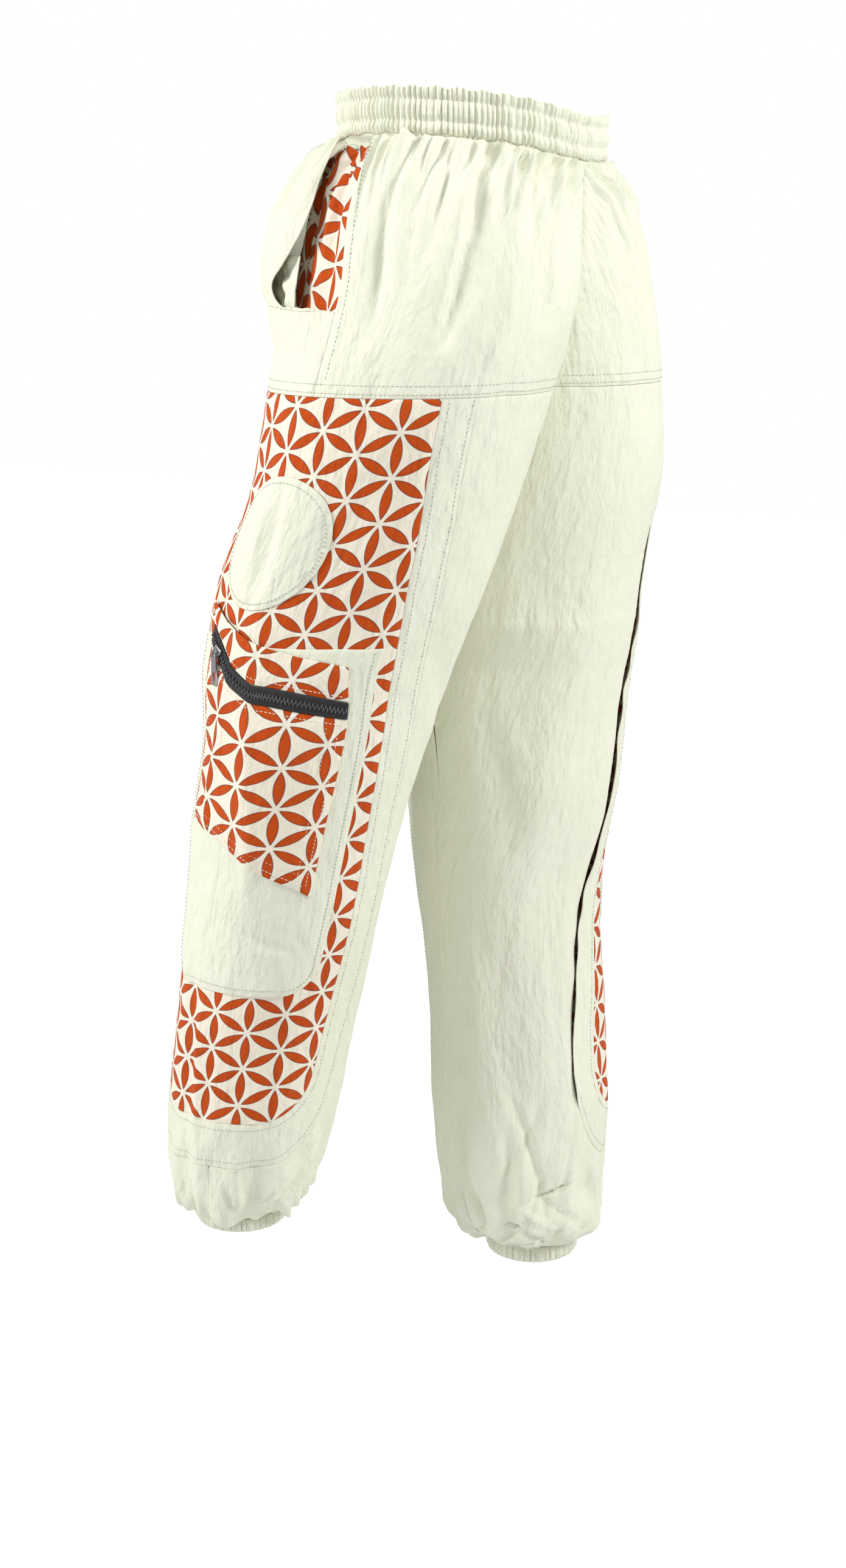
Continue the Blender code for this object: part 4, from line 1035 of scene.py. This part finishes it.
def crumple(around, down, across, edge):
    """Stiff little ridges of cloth pushed together."""
    rough = np.sin(260 * across + 90 * down) * np.sin(330 * down - 80 * across + 1.0)
    heap = np.clip(edge / 0.014, 0, 1)
    return mouth_lift(around, down, across, edge) * 0.35 + (0.0022 * rough - 0.001) * heap


for side in SIDES:
    piece = lay(f"yoke_back_{side}", side, back_yoke_pattern(side), 0.26, 0.170, SAGE, step=0.0019)
    cut_piece(piece, f"back_yoke_{side}")
    piece = lay(f"yoke_front_{side}", side, front_yoke_pattern(side), 0.20, 0.20, SAGE,
                step=0.0022, lift=mouth_lift)
    cut_piece(piece, f"front_yoke_{side}")
    inside = strip_pattern(side, SIDE_SEAM + 0.006, -POCKET_REACH, 0.003, POCKET_FLOOR)
    piece = lay(f"pocket_piece_{side}", side, inside, 0.12, 0.13, PRINT, step=0.0022,
                lift=pocket_sink, roll=0)
    cut_piece(piece, f"hip_pocket_{side}")
    low_corner = strip_pattern(side, -0.058, -0.120, 0.078, 0.128)
    piece = lay(f"pocket_lining_{side}", side, low_corner, 0.06, 0.05, SAGE, step=0.0020, lift=crumple)
    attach(piece, "garment")

# %% [markdown]
# ## What is sewn on the print
# A round patch and the pocket's backing lie on the printed panel. Each comes from the same form, moved
# out by its layers, with its edges drawn down where they are sewn. The patch is a square grid
# pressed into a circle, which leaves no pole in its middle.

# %% Patterns of the round patch and the backing
LAYER = 0.0009
ON_PRINT, ON_BACKING = LAYER + SOLID_CLOTH, 2 * (LAYER + SOLID_CLOTH)
CIRCLE_RADIUS, CIRCLE_AT = 0.049, (-0.022, 0.278)
BACKING_CORNER, BACKING_END, BACKING_BEND = 0.030, 0.633, 0.8  # the bend starts at this share
BACKING_ROWS = (  # down, back_edge, front_edge
    (0.352, 0.088, -0.084), (0.400, 0.087, -0.082), (0.450, 0.085, -0.080),
    (0.500, 0.084, -0.078), (0.550, 0.082, -0.074), (0.603, 0.078, -0.064),
)


def circle_pattern(side):
    """A square grid pressed into a circle."""
    def pattern(u, v):
        x, y = 2 * np.asarray(u) - 1, 2 * np.asarray(v) - 1
        down = CIRCLE_AT[1] + CIRCLE_RADIUS * y * np.sqrt(1 - x * x / 2)
        across = CIRCLE_AT[0] + CIRCLE_RADIUS * x * np.sqrt(1 - y * y / 2)
        return around_of(side, across, down), down
    return pattern


def backing_edges(t):
    """Back and front edges of the backing, t from its top to its rounded end."""
    last = BACKING_ROWS[-1]
    turn = np.clip((t - BACKING_BEND) / (1 - BACKING_BEND), 0, 1) * np.pi / 2
    down = BACKING_ROWS[0][0] + (last[0] - BACKING_ROWS[0][0]) * np.clip(t / BACKING_BEND, 0, 1)
    back, front = (read_rows(BACKING_ROWS, down, k) for k in (1, 2))
    pull = BACKING_CORNER * (1 - np.cos(turn))
    return back - pull, front + pull, down + (BACKING_END - last[0]) * np.sin(turn)


def backing_pattern(side):
    def pattern(u, v):
        back, front, down = backing_edges(np.asarray(v))
        return around_of(side, front + (back - front) * u, down), down
    return pattern


print("patch and backing stand", ON_PRINT, "m off the form")

# %% [markdown]
# ## The cargo pocket
# The pocket is a pouch below the zip and a slanted strip above it. No edge of it is square, so eight
# columns give its top, its zip line and its lower edge, and both parts are read from them. It puffs
# out a little and has one fold, as a pocket does that has been used.

# %% Cargo pocket and the pieces under it
ZIP_WIDTH = 0.013
CARGO_COLUMNS = (  # top_across, top_down, zip_across, zip_down, low_across, low_down
    (-0.078, 0.326, -0.060, 0.350, -0.058, 0.497), (-0.056, 0.333, -0.041, 0.361, -0.040, 0.499),
    (-0.032, 0.341, -0.021, 0.375, -0.014, 0.506), (-0.006, 0.349, 0.000, 0.385, 0.015, 0.521),
    (0.010, 0.353, 0.014, 0.387, 0.023, 0.526), (0.027, 0.357, 0.031, 0.390, 0.033, 0.531),
    (0.046, 0.361, 0.050, 0.394, 0.045, 0.537), (0.065, 0.365, 0.069, 0.398, 0.061, 0.547),
)
SEWN_DEEP = 0.0007
INSIDE = 1.0  # an edge distance far from any edge


def cargo_values(u, *wanted):
    """The wanted values of CARGO_COLUMNS at u, from the pocket's front to its back."""
    steps = np.arange(len(CARGO_COLUMNS))
    return [smooth(np.asarray(u) * steps[-1], steps, column(CARGO_COLUMNS, k)) for k in wanted]


def cargo_point(u, v, from_top):
    """Across and down on the pocket, u from the front and v from the top of its part."""
    half = ZIP_WIDTH / 2 + SEAM
    top_a, top_d, zip_a, zip_d, low_a, low_d = cargo_values(u, 0, 1, 2, 3, 4, 5)
    if from_top:
        return top_a + (zip_a - top_a) * v, top_d + (zip_d - half - top_d) * v
    return zip_a + (low_a - zip_a) * v, zip_d + half + (low_d - zip_d - half) * v


def cargo_pattern(side, from_top):
    def pattern(u, v):
        across, down = cargo_point(u, np.asarray(v), from_top)
        return around_of(side, across, down), down
    return pattern


def sewn_down(around, down, across, edge):
    return -SEWN_DEEP * np.exp(-((edge / 0.007) ** 2))


def pouch(around, down, across, edge):
    """The pocket puffs out a little, with one fold down it."""
    wide = np.clip((across + 0.062) / 0.128, 0, 1)
    tall = np.clip((down - 0.36) / 0.16, 0, 1)
    fold = 0.0034 * np.exp(-(((across + 0.028 + 0.10 * (down - 0.45)) / 0.0050) ** 2))
    puff = 0.0040 * np.sin(np.pi * wide) + fold
    return puff * np.sin(np.pi * tall) - SEWN_DEEP * np.exp(-((edge / 0.006) ** 2))


for side in SIDES:
    piece = lay(f"round_patch_{side}", side, circle_pattern(side), 0.098, 0.098, SAGE,
                out=ON_PRINT, step=0.0020, lift=sewn_down)
    cut_piece(piece, f"circle_patch_{side}")
    piece = lay(f"backing_{side}", side, backing_pattern(side), 0.17, 0.28, SAGE,
                out=ON_PRINT, step=0.0032, lift=sewn_down)
    cut_piece(piece, f"pocket_backing_{side}")
    piece = lay(f"cargo_pouch_{side}", side, cargo_pattern(side, False), 0.13, 0.145, PRINT,
                out=ON_BACKING, step=0.0022, lift=pouch)
    cut_piece(piece, f"cargo_pocket_{side}")
    piece = lay(f"cargo_top_{side}", side, cargo_pattern(side, True), 0.14, 0.028, PRINT,
                out=ON_BACKING, step=0.0020, lift=pouch)
    cut_piece(piece, f"pocket_top_{side}")

# %% [markdown]
# ## A gathered ring
# The waistband and the cuffs are bands of cloth that elastic draws in. Each is a flat grid bent into
# a ring and closed by merging its ends. Its gathers are rounded ridges whose spacing and height
# wander, because an even wave looks like the teeth of a gear.

# %% A gathered ring
def gather_wave(angle, count, wander, phase):
    """Round ridges with narrow valleys, a little uneven in width and height."""
    bent = angle * count + wander * (np.sin(angle * 9 + phase) + 0.6 * np.sin(angle * 23 + 2 * phase))
    strength = 0.72 + 0.28 * np.sin(angle * 31 + 1.7 * phase)
    return (2 * np.abs(np.cos(bent / 2)) ** 0.45 - 1.3) * strength


def ring_band(name, centre, width, depth, rows, columns, shape_of, finish, level=None):
    """A gathered ring; shape_of(angle, share) gives height and how far out."""
    shape = bmesh.new()
    bmesh.ops.create_grid(shape, x_segments=columns, y_segments=rows, size=1.0)
    cloth_uv = shape.loops.layers.uv.new("cloth")
    spots = np.array([vert.co[:2] for vert in shape.verts])
    angle, share = (spots[:, 0] + 1) * np.pi, (spots[:, 1] + 1) / 2
    height, out = shape_of(angle, share)
    x, y = (width + out) * np.cos(angle), (depth + out) * np.sin(angle)
    z = height + (level(x, y) if level else 0)
    girth = np.pi * (width + depth)
    flat = np.stack([angle / (2 * np.pi) * girth * 1.6, share * 0.04], -1)
    shape.verts.index_update()
    for face in shape.faces:
        for loop in face.loops:
            loop[cloth_uv].uv = flat[loop.vert.index]
    for vert, point in zip(shape.verts, np.stack([x, y, z], -1) + np.array(centre)):
        vert.co = point
    bmesh.ops.remove_doubles(shape, verts=shape.verts, dist=1e-6)
    shape.faces.ensure_lookup_table()
    shape.normal_update()
    middle = shape.faces[len(shape.faces) // 2]
    if middle.normal.dot(middle.calc_center_median() - Vector(centre)) < 0:
        bmesh.ops.reverse_faces(shape, faces=shape.faces)
    piece = object_of(name, shape, finish)
    thin_wall(piece)
    # the flat cut is as long as the gathered line, pulled straight
    row = np.stack([x, y, z], -1)[np.abs(share - 0.5) < 0.51 / rows][: columns + 1]
    run = float(np.linalg.norm(np.diff(row, axis=0), axis=1).sum())
    print(f"{name}: {girth:.3f} m round, cut {run:.3f} m long")
    return piece, run


# %% [markdown]
# ## Waistband
# Elastic thread draws the band in along lines, and the cloth between them puffs into three channels
# of narrow, uneven gathers with dark slits between them. The top one stands free as a ruffle. A dent
# at the centre back marks where the band is joined.

# %% Shirred waistband
CHANNELS = (1.0, 0.743, 0.297, 0.0)  # stitched lines, as shares of the band's height
WAIST_GATHERS_ROUND = 150


def waist_shape(angle, share):
    wave = gather_wave(angle, WAIST_GATHERS_ROUND, 1.9, 0.4)
    other = gather_wave(angle, WAIST_GATHERS_ROUND, 1.9, 0.9)
    ruffle = share > CHANNELS[1]
    line = np.min([np.abs(share - s) for s in CHANNELS[1:]], axis=0) * WAIST_HEIGHT
    puff = np.clip(line / 0.0045, 0, 1) ** 0.6
    out = 0.0004 + 0.0020 * puff + 0.0025 * np.where(ruffle, other, wave) * (0.35 + 0.65 * puff)
    flare = np.clip((share - CHANNELS[1]) / (1 - CHANNELS[1]), 0, 1)
    out = out + 0.0006 * flare * np.sin(angle * 47 + 1)
    height = (share - 0.5) * (WAIST_HEIGHT - 0.0006)
    height = height + 0.0008 * flare * np.sin(angle * 38)
    height = height + 0.0006 * (1 - share) * np.sin(angle * 29 + 2)
    # the small notch at the centre back
    notch = np.exp(-(((angle - np.pi / 2) / 0.018) ** 2))
    return height - 0.0020 * flare * notch, out - 0.0022 * notch


waistband, waist_run = ring_band("waistband_shirred", (0, 0, 0), WAIST_HALF_WIDTH,
                                 WAIST_HALF_DEPTH, 24, 1200, waist_shape, SAGE, waist_level)
stand_for(waistband, "waistband")

# %% [markdown]
# ## Cuffs
# Each cuff is the same idea with one channel and fewer, wider gathers. Its top edge is tucked up
# inside the leg, so that no gap shows between the two.

# %% Gathered cuffs
CUFF_GATHERS_ROUND = 46
CUFF_HEIGHT = {"left": 0.011, "right": 0.014}
CUFF_PHASE = {"left": 1.3, "right": 2.9}
for side in SIDES:
    _, height, middle_x, middle_y, width, depth = LEG_ROWS[side][-1]

    def cuff_shape(angle, share, tall=CUFF_HEIGHT[side]):
        wave = gather_wave(angle, CUFF_GATHERS_ROUND, 1.2, CUFF_PHASE[side])
        line = np.minimum(share, 1 - share) * tall
        puff = np.clip(line / 0.004, 0, 1) ** 0.7
        out = 0.0002 + 0.0012 * puff + 0.0022 * wave * (0.4 + 0.6 * puff)
        tucked = np.clip((share - 0.85) / 0.15, 0, 1)  # its top edge goes up inside the leg
        return (share - 1) * tall + 0.0018 * tucked, out * (1 - tucked) - 0.0014 * tucked

    centre = (SIDES[side] * middle_x, middle_y, height - SEAM - 0.0004)
    cuff, cuff_run = ring_band(f"gathered_cuff_{side}", centre, width, depth, 8, 400,
                               cuff_shape, SAGE)
    stand_for(cuff, f"cuff_{side}")

# %% [markdown]
# ## The zip
# A nylon coil zip is a woven tape with two rows of loops that lock in the middle. The tape is laid as
# the rest of the cloth is, along the line between the pocket's two parts. The coil is one small
# rounded loop repeated along that line, so each loop has few faces.

# %% Tape and coil
COIL_LOOPS, LOOP_SIDE = 92, 0.0009
LOOP_SIZE = (0.0007, 0.0020, 0.0007)  # along the zip, across it and off the cloth
NO_COIL = 0.012  # share of the tape that stays bare at each end


def zip_middle(u):
    return cargo_values(u, 2, 3)


def pouch_point(side, across, down, out):
    across, down = np.atleast_1d(across).astype(float), np.atleast_1d(down).astype(float)
    around = around_of(side, across, down)
    return cloth(side, around, down, out + pouch(around, down, across, INSIDE))


def tape_pattern(side):
    def pattern(u, v):
        across, down = zip_middle(u)
        down = down + (np.asarray(v) - 0.5) * (ZIP_WIDTH - SEAM)
        return around_of(side, across, down), down
    return pattern


def seating(axes, place, sizes=(1.0, 1.0, 1.0)):
    """The matrix that scales a shape, turns it onto three axes and puts it in its place."""
    turn = Matrix([[axes[k][i] * sizes[k] for k in range(3)] for i in range(3)]).to_4x4()
    return Matrix.Translation(place) @ turn


def add_bead(shape, axes, radii, place):
    """Adds a stretched ball of few faces."""
    matrix = seating(axes, place, radii)
    bmesh.ops.create_icosphere(shape, subdivisions=1, radius=1.0, matrix=matrix)


def finish_piece(name, shape, finish):
    """A small closed piece of the garment that stands for no solid of its own."""
    bmesh.ops.recalc_face_normals(shape, faces=shape.faces)
    piece = object_of(name, shape, finish)
    piece.data.set_sharp_from_angle(angle=np.radians(40))
    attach(piece, "garment")


def sew_tape(side):
    tape = lay(f"zip_tape_{side}", side, tape_pattern(side), 0.14, ZIP_WIDTH, TAPE,
               out=ON_BACKING - 0.0004, step=0.0016, roll=0, pucker=0,
               lift=lambda around, down, across, edge: pouch(around, down, across, INSIDE))
    cut_piece(tape, f"zip_{side}",
              strip=(run_length(*zip_middle(np.linspace(0, 1, 200))), ZIP_WIDTH))


def add_coil(side):
    """Two rows of loops that lean into each other."""
    coil = bmesh.new()
    across, down = zip_middle(np.linspace(NO_COIL, 1 - NO_COIL, COIL_LOOPS))
    middle = pouch_point(side, across, down, ON_BACKING + 0.0003)
    normals = outward(side, around_of(side, across, down), down)
    for k, (point, normal) in enumerate(zip(middle, normals)):
        ahead = Vector(middle[min(k + 1, len(middle) - 1)] - middle[max(k - 1, 0)]).normalized()
        out = Vector(normal)
        over = out.cross(ahead).normalized()
        place = Vector(point) + over * LOOP_SIDE * (1 if k % 2 else -1)
        add_bead(coil, (ahead, over, out), LOOP_SIZE, place)
    finish_piece(f"zip_coil_{side}", coil, COIL)


# %% [markdown]
# ## The slider
# The slider is a rounded block with an arch over it, and the pull tab hangs from the arch. The block
# is a bevelled cube, narrower at its rear. The arch is a small circle extruded along a bend, which
# keeps it one closed tube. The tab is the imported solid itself, so it only gets its metal.

# %% Slider, arch and both zips
BAIL_HEIGHT, BRIDGE_GAP, BRIDGE_THICK = 0.0042, 0.00115, 0.0009
SLIDER_AT = 1  # the slider sits on this column of CARGO_COLUMNS
SLIDER_SIZE, SLIDER_RISE, SLIDER_REAR = (0.0088, 0.0074, 0.0022), 0.0013, 0.72
SLIDER_REACH = 4 / 140  # share of the zip on each side that gives the slider's direction
ARCH_FOOT = 0.0016


def slider_frame(side):
    """Place and axes of the slider: along the zip, across it, and off the cloth."""
    k = SLIDER_AT / (len(CARGO_COLUMNS) - 1)
    near, here, far = (
        pouch_point(side, *zip_middle(k + way * SLIDER_REACH), ON_BACKING)[0] for way in (-1, 0, 1)
    )
    across, down = zip_middle(k)
    out = Vector(outward(side, around_of(side, across, down), down))
    along = Vector(far - near).normalized()
    along = (along - out * along.dot(out)).normalized()
    return Vector(here), along, out.cross(along), out


def add_slider(side):
    """The slider's body, rounded and narrower at its rear."""
    place, along, over, out = slider_frame(side)
    body = bmesh.new()
    bmesh.ops.create_cube(body, size=1.0)
    bmesh.ops.scale(body, vec=SLIDER_SIZE, verts=body.verts)
    for vert in body.verts:
        if vert.co.x < 0:
            vert.co.y *= SLIDER_REAR
    bmesh.ops.bevel(body, geom=body.edges, offset=0.0007, segments=3, affect="EDGES", profile=0.5,
                    material=-1)
    matrix = seating((along, over, out), place + out * SLIDER_RISE)
    bmesh.ops.transform(body, matrix=matrix, verts=body.verts)
    finish_piece(f"zip_slider_{side}", body, METAL)


def add_arch(side):
    """The arch that holds the tab: a bar bent over the tab's axis."""
    place, *_, out = slider_frame(side)
    arch = bmesh.new()
    axis = Vector((out.x, out.y, 0)).normalized().cross(Vector((0, 0, 1)))
    fall = axis.cross(out).normalized()
    reach, top = BRIDGE_GAP + BRIDGE_THICK / 2, BAIL_HEIGHT + BRIDGE_GAP + BRIDGE_THICK / 2
    turns = np.linspace(-np.pi / 2, np.pi / 2, 9)
    bends = [(reach * np.sin(t), top - reach + reach * np.cos(t)) for t in turns]
    bends = [(-reach, ARCH_FOOT)] + bends + [(reach, ARCH_FOOT)]
    bmesh.ops.create_circle(arch, cap_ends=False, segments=10, radius=BRIDGE_THICK / 2)
    matrix = seating((axis, fall, out), place + fall * bends[0][0] + out * bends[0][1])
    bmesh.ops.transform(arch, matrix=matrix, verts=arch.verts)
    edges = list(arch.edges)
    for (p0, o0), (p1, o1) in zip(bends, bends[1:]):
        grown = bmesh.ops.extrude_edge_only(arch, edges=edges)["geom"]
        verts = [g for g in grown if isinstance(g, bmesh.types.BMVert)]
        edges = [g for g in grown if isinstance(g, bmesh.types.BMEdge)]
        bmesh.ops.translate(arch, vec=fall * (p1 - p0) + out * (o1 - o0), verts=verts)
    bmesh.ops.holes_fill(arch, edges=arch.edges)
    finish_piece(f"zip_arch_{side}", arch, METAL)


for side in SIDES:
    sew_tape(side)
    add_coil(side)
    add_slider(side)
    add_arch(side)
    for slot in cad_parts[f"zip_tab_{side}"].material_slots:
        slot.material = METAL
print("zips", 2, "with", COIL_LOOPS, "loops each")

# %% [markdown]
# ## Topstitching
# Rows of thread hold the layers down beside each seam. A stitch is a short stretched ball of few
# faces, and a row of them follows a line on the same form as the cloth, so it sinks and rises with
# every fold. A bump map would be lighter, but it leaves no thread in the mesh.

# %% A row of stitches
STITCH_PITCH, STITCH_LONG, STITCH_THICK = 0.0032, 0.0025, 0.00065


def sew(shape, side, across, down, out):
    """Adds a row of stitches along (across, down)."""
    around = around_of(side, across, down)
    points = cloth(side, around, down, out)
    normals = outward(side, around, down)
    run = np.concatenate([[0], np.cumsum(np.linalg.norm(np.diff(points, axis=0), axis=1))])
    marks = np.arange(STITCH_PITCH, run[-1] - STITCH_PITCH / 2, STITCH_PITCH)
    for mark in marks:
        ends = [np.array([np.interp(mark + d, run, points[:, k]) for k in range(3)])
                for d in (-STITCH_LONG / 2, STITCH_LONG / 2)]
        ahead = Vector(ends[1] - ends[0]).normalized()
        off_cloth = Vector([np.interp(mark, run, normals[:, k]) for k in range(3)]).normalized()
        over = off_cloth.cross(ahead).normalized()
        axes = (ahead, over, ahead.cross(over))
        radii = (STITCH_LONG / 2, STITCH_THICK / 2, STITCH_THICK / 2)
        add_bead(shape, axes, radii, Vector((ends[0] + ends[1]) / 2))
    return len(marks)


# %% [markdown]
# ## Where the rows run
# Two rows hold the yoke seam, and two run along the band. One row runs beside the pocket opening,
# round the backing and round the patch, and two go round the pocket. They are read from the same
# lines as the cuts, so they keep their distance from the edges.

# %% Stitches on the cloth and on the pocket
FROM_EDGE = 0.006  # how far the rows lie from the edge that they hold
PATCH_ROW = 0.0445  # radius of the row on the round patch
POUCH_WIDE, POUCH_TALL = 0.13, 0.145


def stitch_cloth(side):
    shape = bmesh.new()
    count = 0
    v = np.linspace(0, 1, 500)
    # the band: beside the print, and near its outer edge
    for beside, under in ((FROM_EDGE, FROM_EDGE), (BAND_WIDTH - 0.004, BAND_DEPTH - FROM_EDGE)):
        across, down = both_edges(side, v, beside, under)
        count += sew(shape, side, across, down, 0.0001)
    # yoke seam: two rows above it, all the way round
    for above in (0.003, 0.009):
        down = np.full(600, YOKE_SEAM - above)
        lo, hi = (float(across_of(side, a, YOKE_SEAM - above)) for a in (-0.985, 0.985))
        count += sew(shape, side, np.linspace(lo, hi, 600), down, 0.0001)
    # the back yoke's edge beside the pocket, and the side seam below it
    down = np.linspace(0.004, YOKE_SEAM - 0.011, 200)
    count += sew(shape, side, np.full(200, SIDE_SEAM + 0.007), down, 0.0001)
    # backing and round patch
    t = np.linspace(0, 1, 300)
    back, front, down = backing_edges(t)
    turn = np.clip((t - BACKING_BEND) / (1 - BACKING_BEND), 0, 1)
    for edge_line, way in ((back, -1), (front, 1)):
        inward = edge_line + way * FROM_EDGE * (1 - turn)
        count += sew(shape, side, inward, down - FROM_EDGE * turn, ON_PRINT)
    low = np.linspace(back[-1], front[-1], 60)
    count += sew(shape, side, low, np.full(60, BACKING_END - FROM_EDGE), ON_PRINT)
    spin = np.linspace(0, 2 * np.pi, 240)
    across, down = CIRCLE_AT[0] + PATCH_ROW * np.cos(spin), CIRCLE_AT[1] + PATCH_ROW * np.sin(spin)
    count += sew(shape, side, across, down, ON_PRINT)
    finish_piece(f"topstitching_{side}", shape, THREAD)
    return count


def stitch_pocket(side):
    shape = bmesh.new()
    count = 0
    fall, along = np.linspace(0.04, 0.97, 80), np.linspace(0.05, 0.95, 160)
    rows = []
    for inset in (FROM_EDGE, 0.014):
        u = inset / POUCH_WIDE
        rows += [(cargo_point(np.full(80, u), fall, False), 0.0002),
                 (cargo_point(np.full(80, 1 - u), fall, False), 0.0002),
                 (cargo_point(along, np.full(160, 1 - inset / POUCH_TALL), False), 0.0002)]
    for v_row, top in ((0.86, True), (0.03, False)):
        row = cargo_point(np.linspace(0.02, 0.98, 160), np.full(160, v_row), top)
        rows.append((row, 0.0003))
    for (across, down), sunk in rows:
        lifted = pouch(None, down, across, INSIDE)
        count += sew(shape, side, across, down, ON_BACKING + lifted - sunk)
    finish_piece(f"pocket_stitching_{side}", shape, PALE_THREAD)
    return count


for side in SIDES:
    print(side, stitch_cloth(side) + stitch_pocket(side), "stitches")

# %% [markdown]
# ## Floor and room
# The trousers stand before a white backdrop. The floor and the room look whiter to the camera than
# the light that they give the cloth, which is how a backdrop with lamps of its own looks. A brighter
# room would do the same, but it would wash out the folds.

# %% Floor and room
ROOM_LIGHT, ROOM_SEEN = 0.42, 1.0
FLOOR_GLOW, FLOOR_DROP = 0.66, 0.13

FLOOR_PAINT, wires, shader = finish_of("floor_paint", 0.9)
speck = wires.noise(wires.node("ShaderNodeTexCoord").outputs["Object"], 3.0, 2.0)
floor_colour = wires.mix(speck, (0.80, 0.80, 0.80, 1), (0.83, 0.83, 0.83, 1))
wires.feed(shader.inputs["Base Color"], floor_colour)
seen = wires.node("ShaderNodeLightPath").outputs["Is Camera Ray"]
shader.inputs["Emission Color"].default_value = (1, 1, 1, 1)
wires.feed(shader.inputs["Emission Strength"], wires.math("MULTIPLY", seen, FLOOR_GLOW))

floor_shape = bmesh.new()
bmesh.ops.create_grid(floor_shape, x_segments=1, y_segments=1, size=6.0)
floor = object_of("floor", floor_shape, FLOOR_PAINT)
floor.location.z = cad_box[0][2] - FLOOR_DROP

# the room lights the cloth softly, and the camera sees it as a white backdrop
world = bpy.data.worlds.new("studio")
bpy.context.scene.world = world
world.use_nodes = True
room = Wires(world.node_tree)
seen = room.node("ShaderNodeLightPath").outputs["Is Camera Ray"]
backdrop = world.node_tree.nodes["Background"].inputs
backdrop["Color"].default_value = (1.0, 1.0, 1.0, 1)
room.feed(backdrop["Strength"], room.ramp(seen, 0.0, 1.0, ROOM_LIGHT, ROOM_SEEN))
print("floor at height", round(floor.location.z, 3))

# %% [markdown]
# ## Light
# Two large soft lights at the sides and a weak one above the waist shade the folds without hard
# shadows. A single strong lamp would flatten the side that faces it and lose the other one.

# %% Lights
LEG_MIDDLE, WAIST_MIDDLE = (0, 0, -0.45), (0, 0, 0)


def soft_light(name, place, aim, size, power):
    data = bpy.data.lights.new(name, "AREA")
    data.shape, data.size, data.energy = "SQUARE", size, power
    lamp = bpy.data.objects.new(name, data)
    lamp.location = place
    lamp.rotation_euler = (Vector(aim) - Vector(place)).to_track_quat("-Z", "Y").to_euler()
    bpy.context.scene.collection.objects.link(lamp)


soft_light("left_box", (1.8, -1.5, 0.9), LEG_MIDDLE, 0.8, 52)
soft_light("right_box", (-0.3, 2.3, 1.1), LEG_MIDDLE, 0.8, 52)
soft_light("high_box", (0.62, 0.40, 0.62), WAIST_MIDDLE, 0.5, 1.7)
# the plain transform keeps pale cloth as pale as it is
bpy.context.scene.view_settings.view_transform = "Standard"

# %% [markdown]
# ## Camera
# The camera stands behind the wearer's left side, a little below the waist, and looks down by
# fourteen degrees. It is near enough for the legs to taper a little towards the floor.

# %% Camera
camera_data = bpy.data.cameras.new("camera")
camera_data.lens, camera_data.sensor_width, camera_data.sensor_height = 50, 36, 36
camera_data.sensor_fit = "VERTICAL"
camera = bpy.data.objects.new("camera", camera_data)
camera.location = (1.45104, 0.82754, -0.075)
camera.rotation_euler = (np.radians(76), 0, np.radians(121))
bpy.context.scene.collection.objects.link(camera)
bpy.context.scene.camera = camera
print("camera at", tuple(round(c, 3) for c in camera.location))
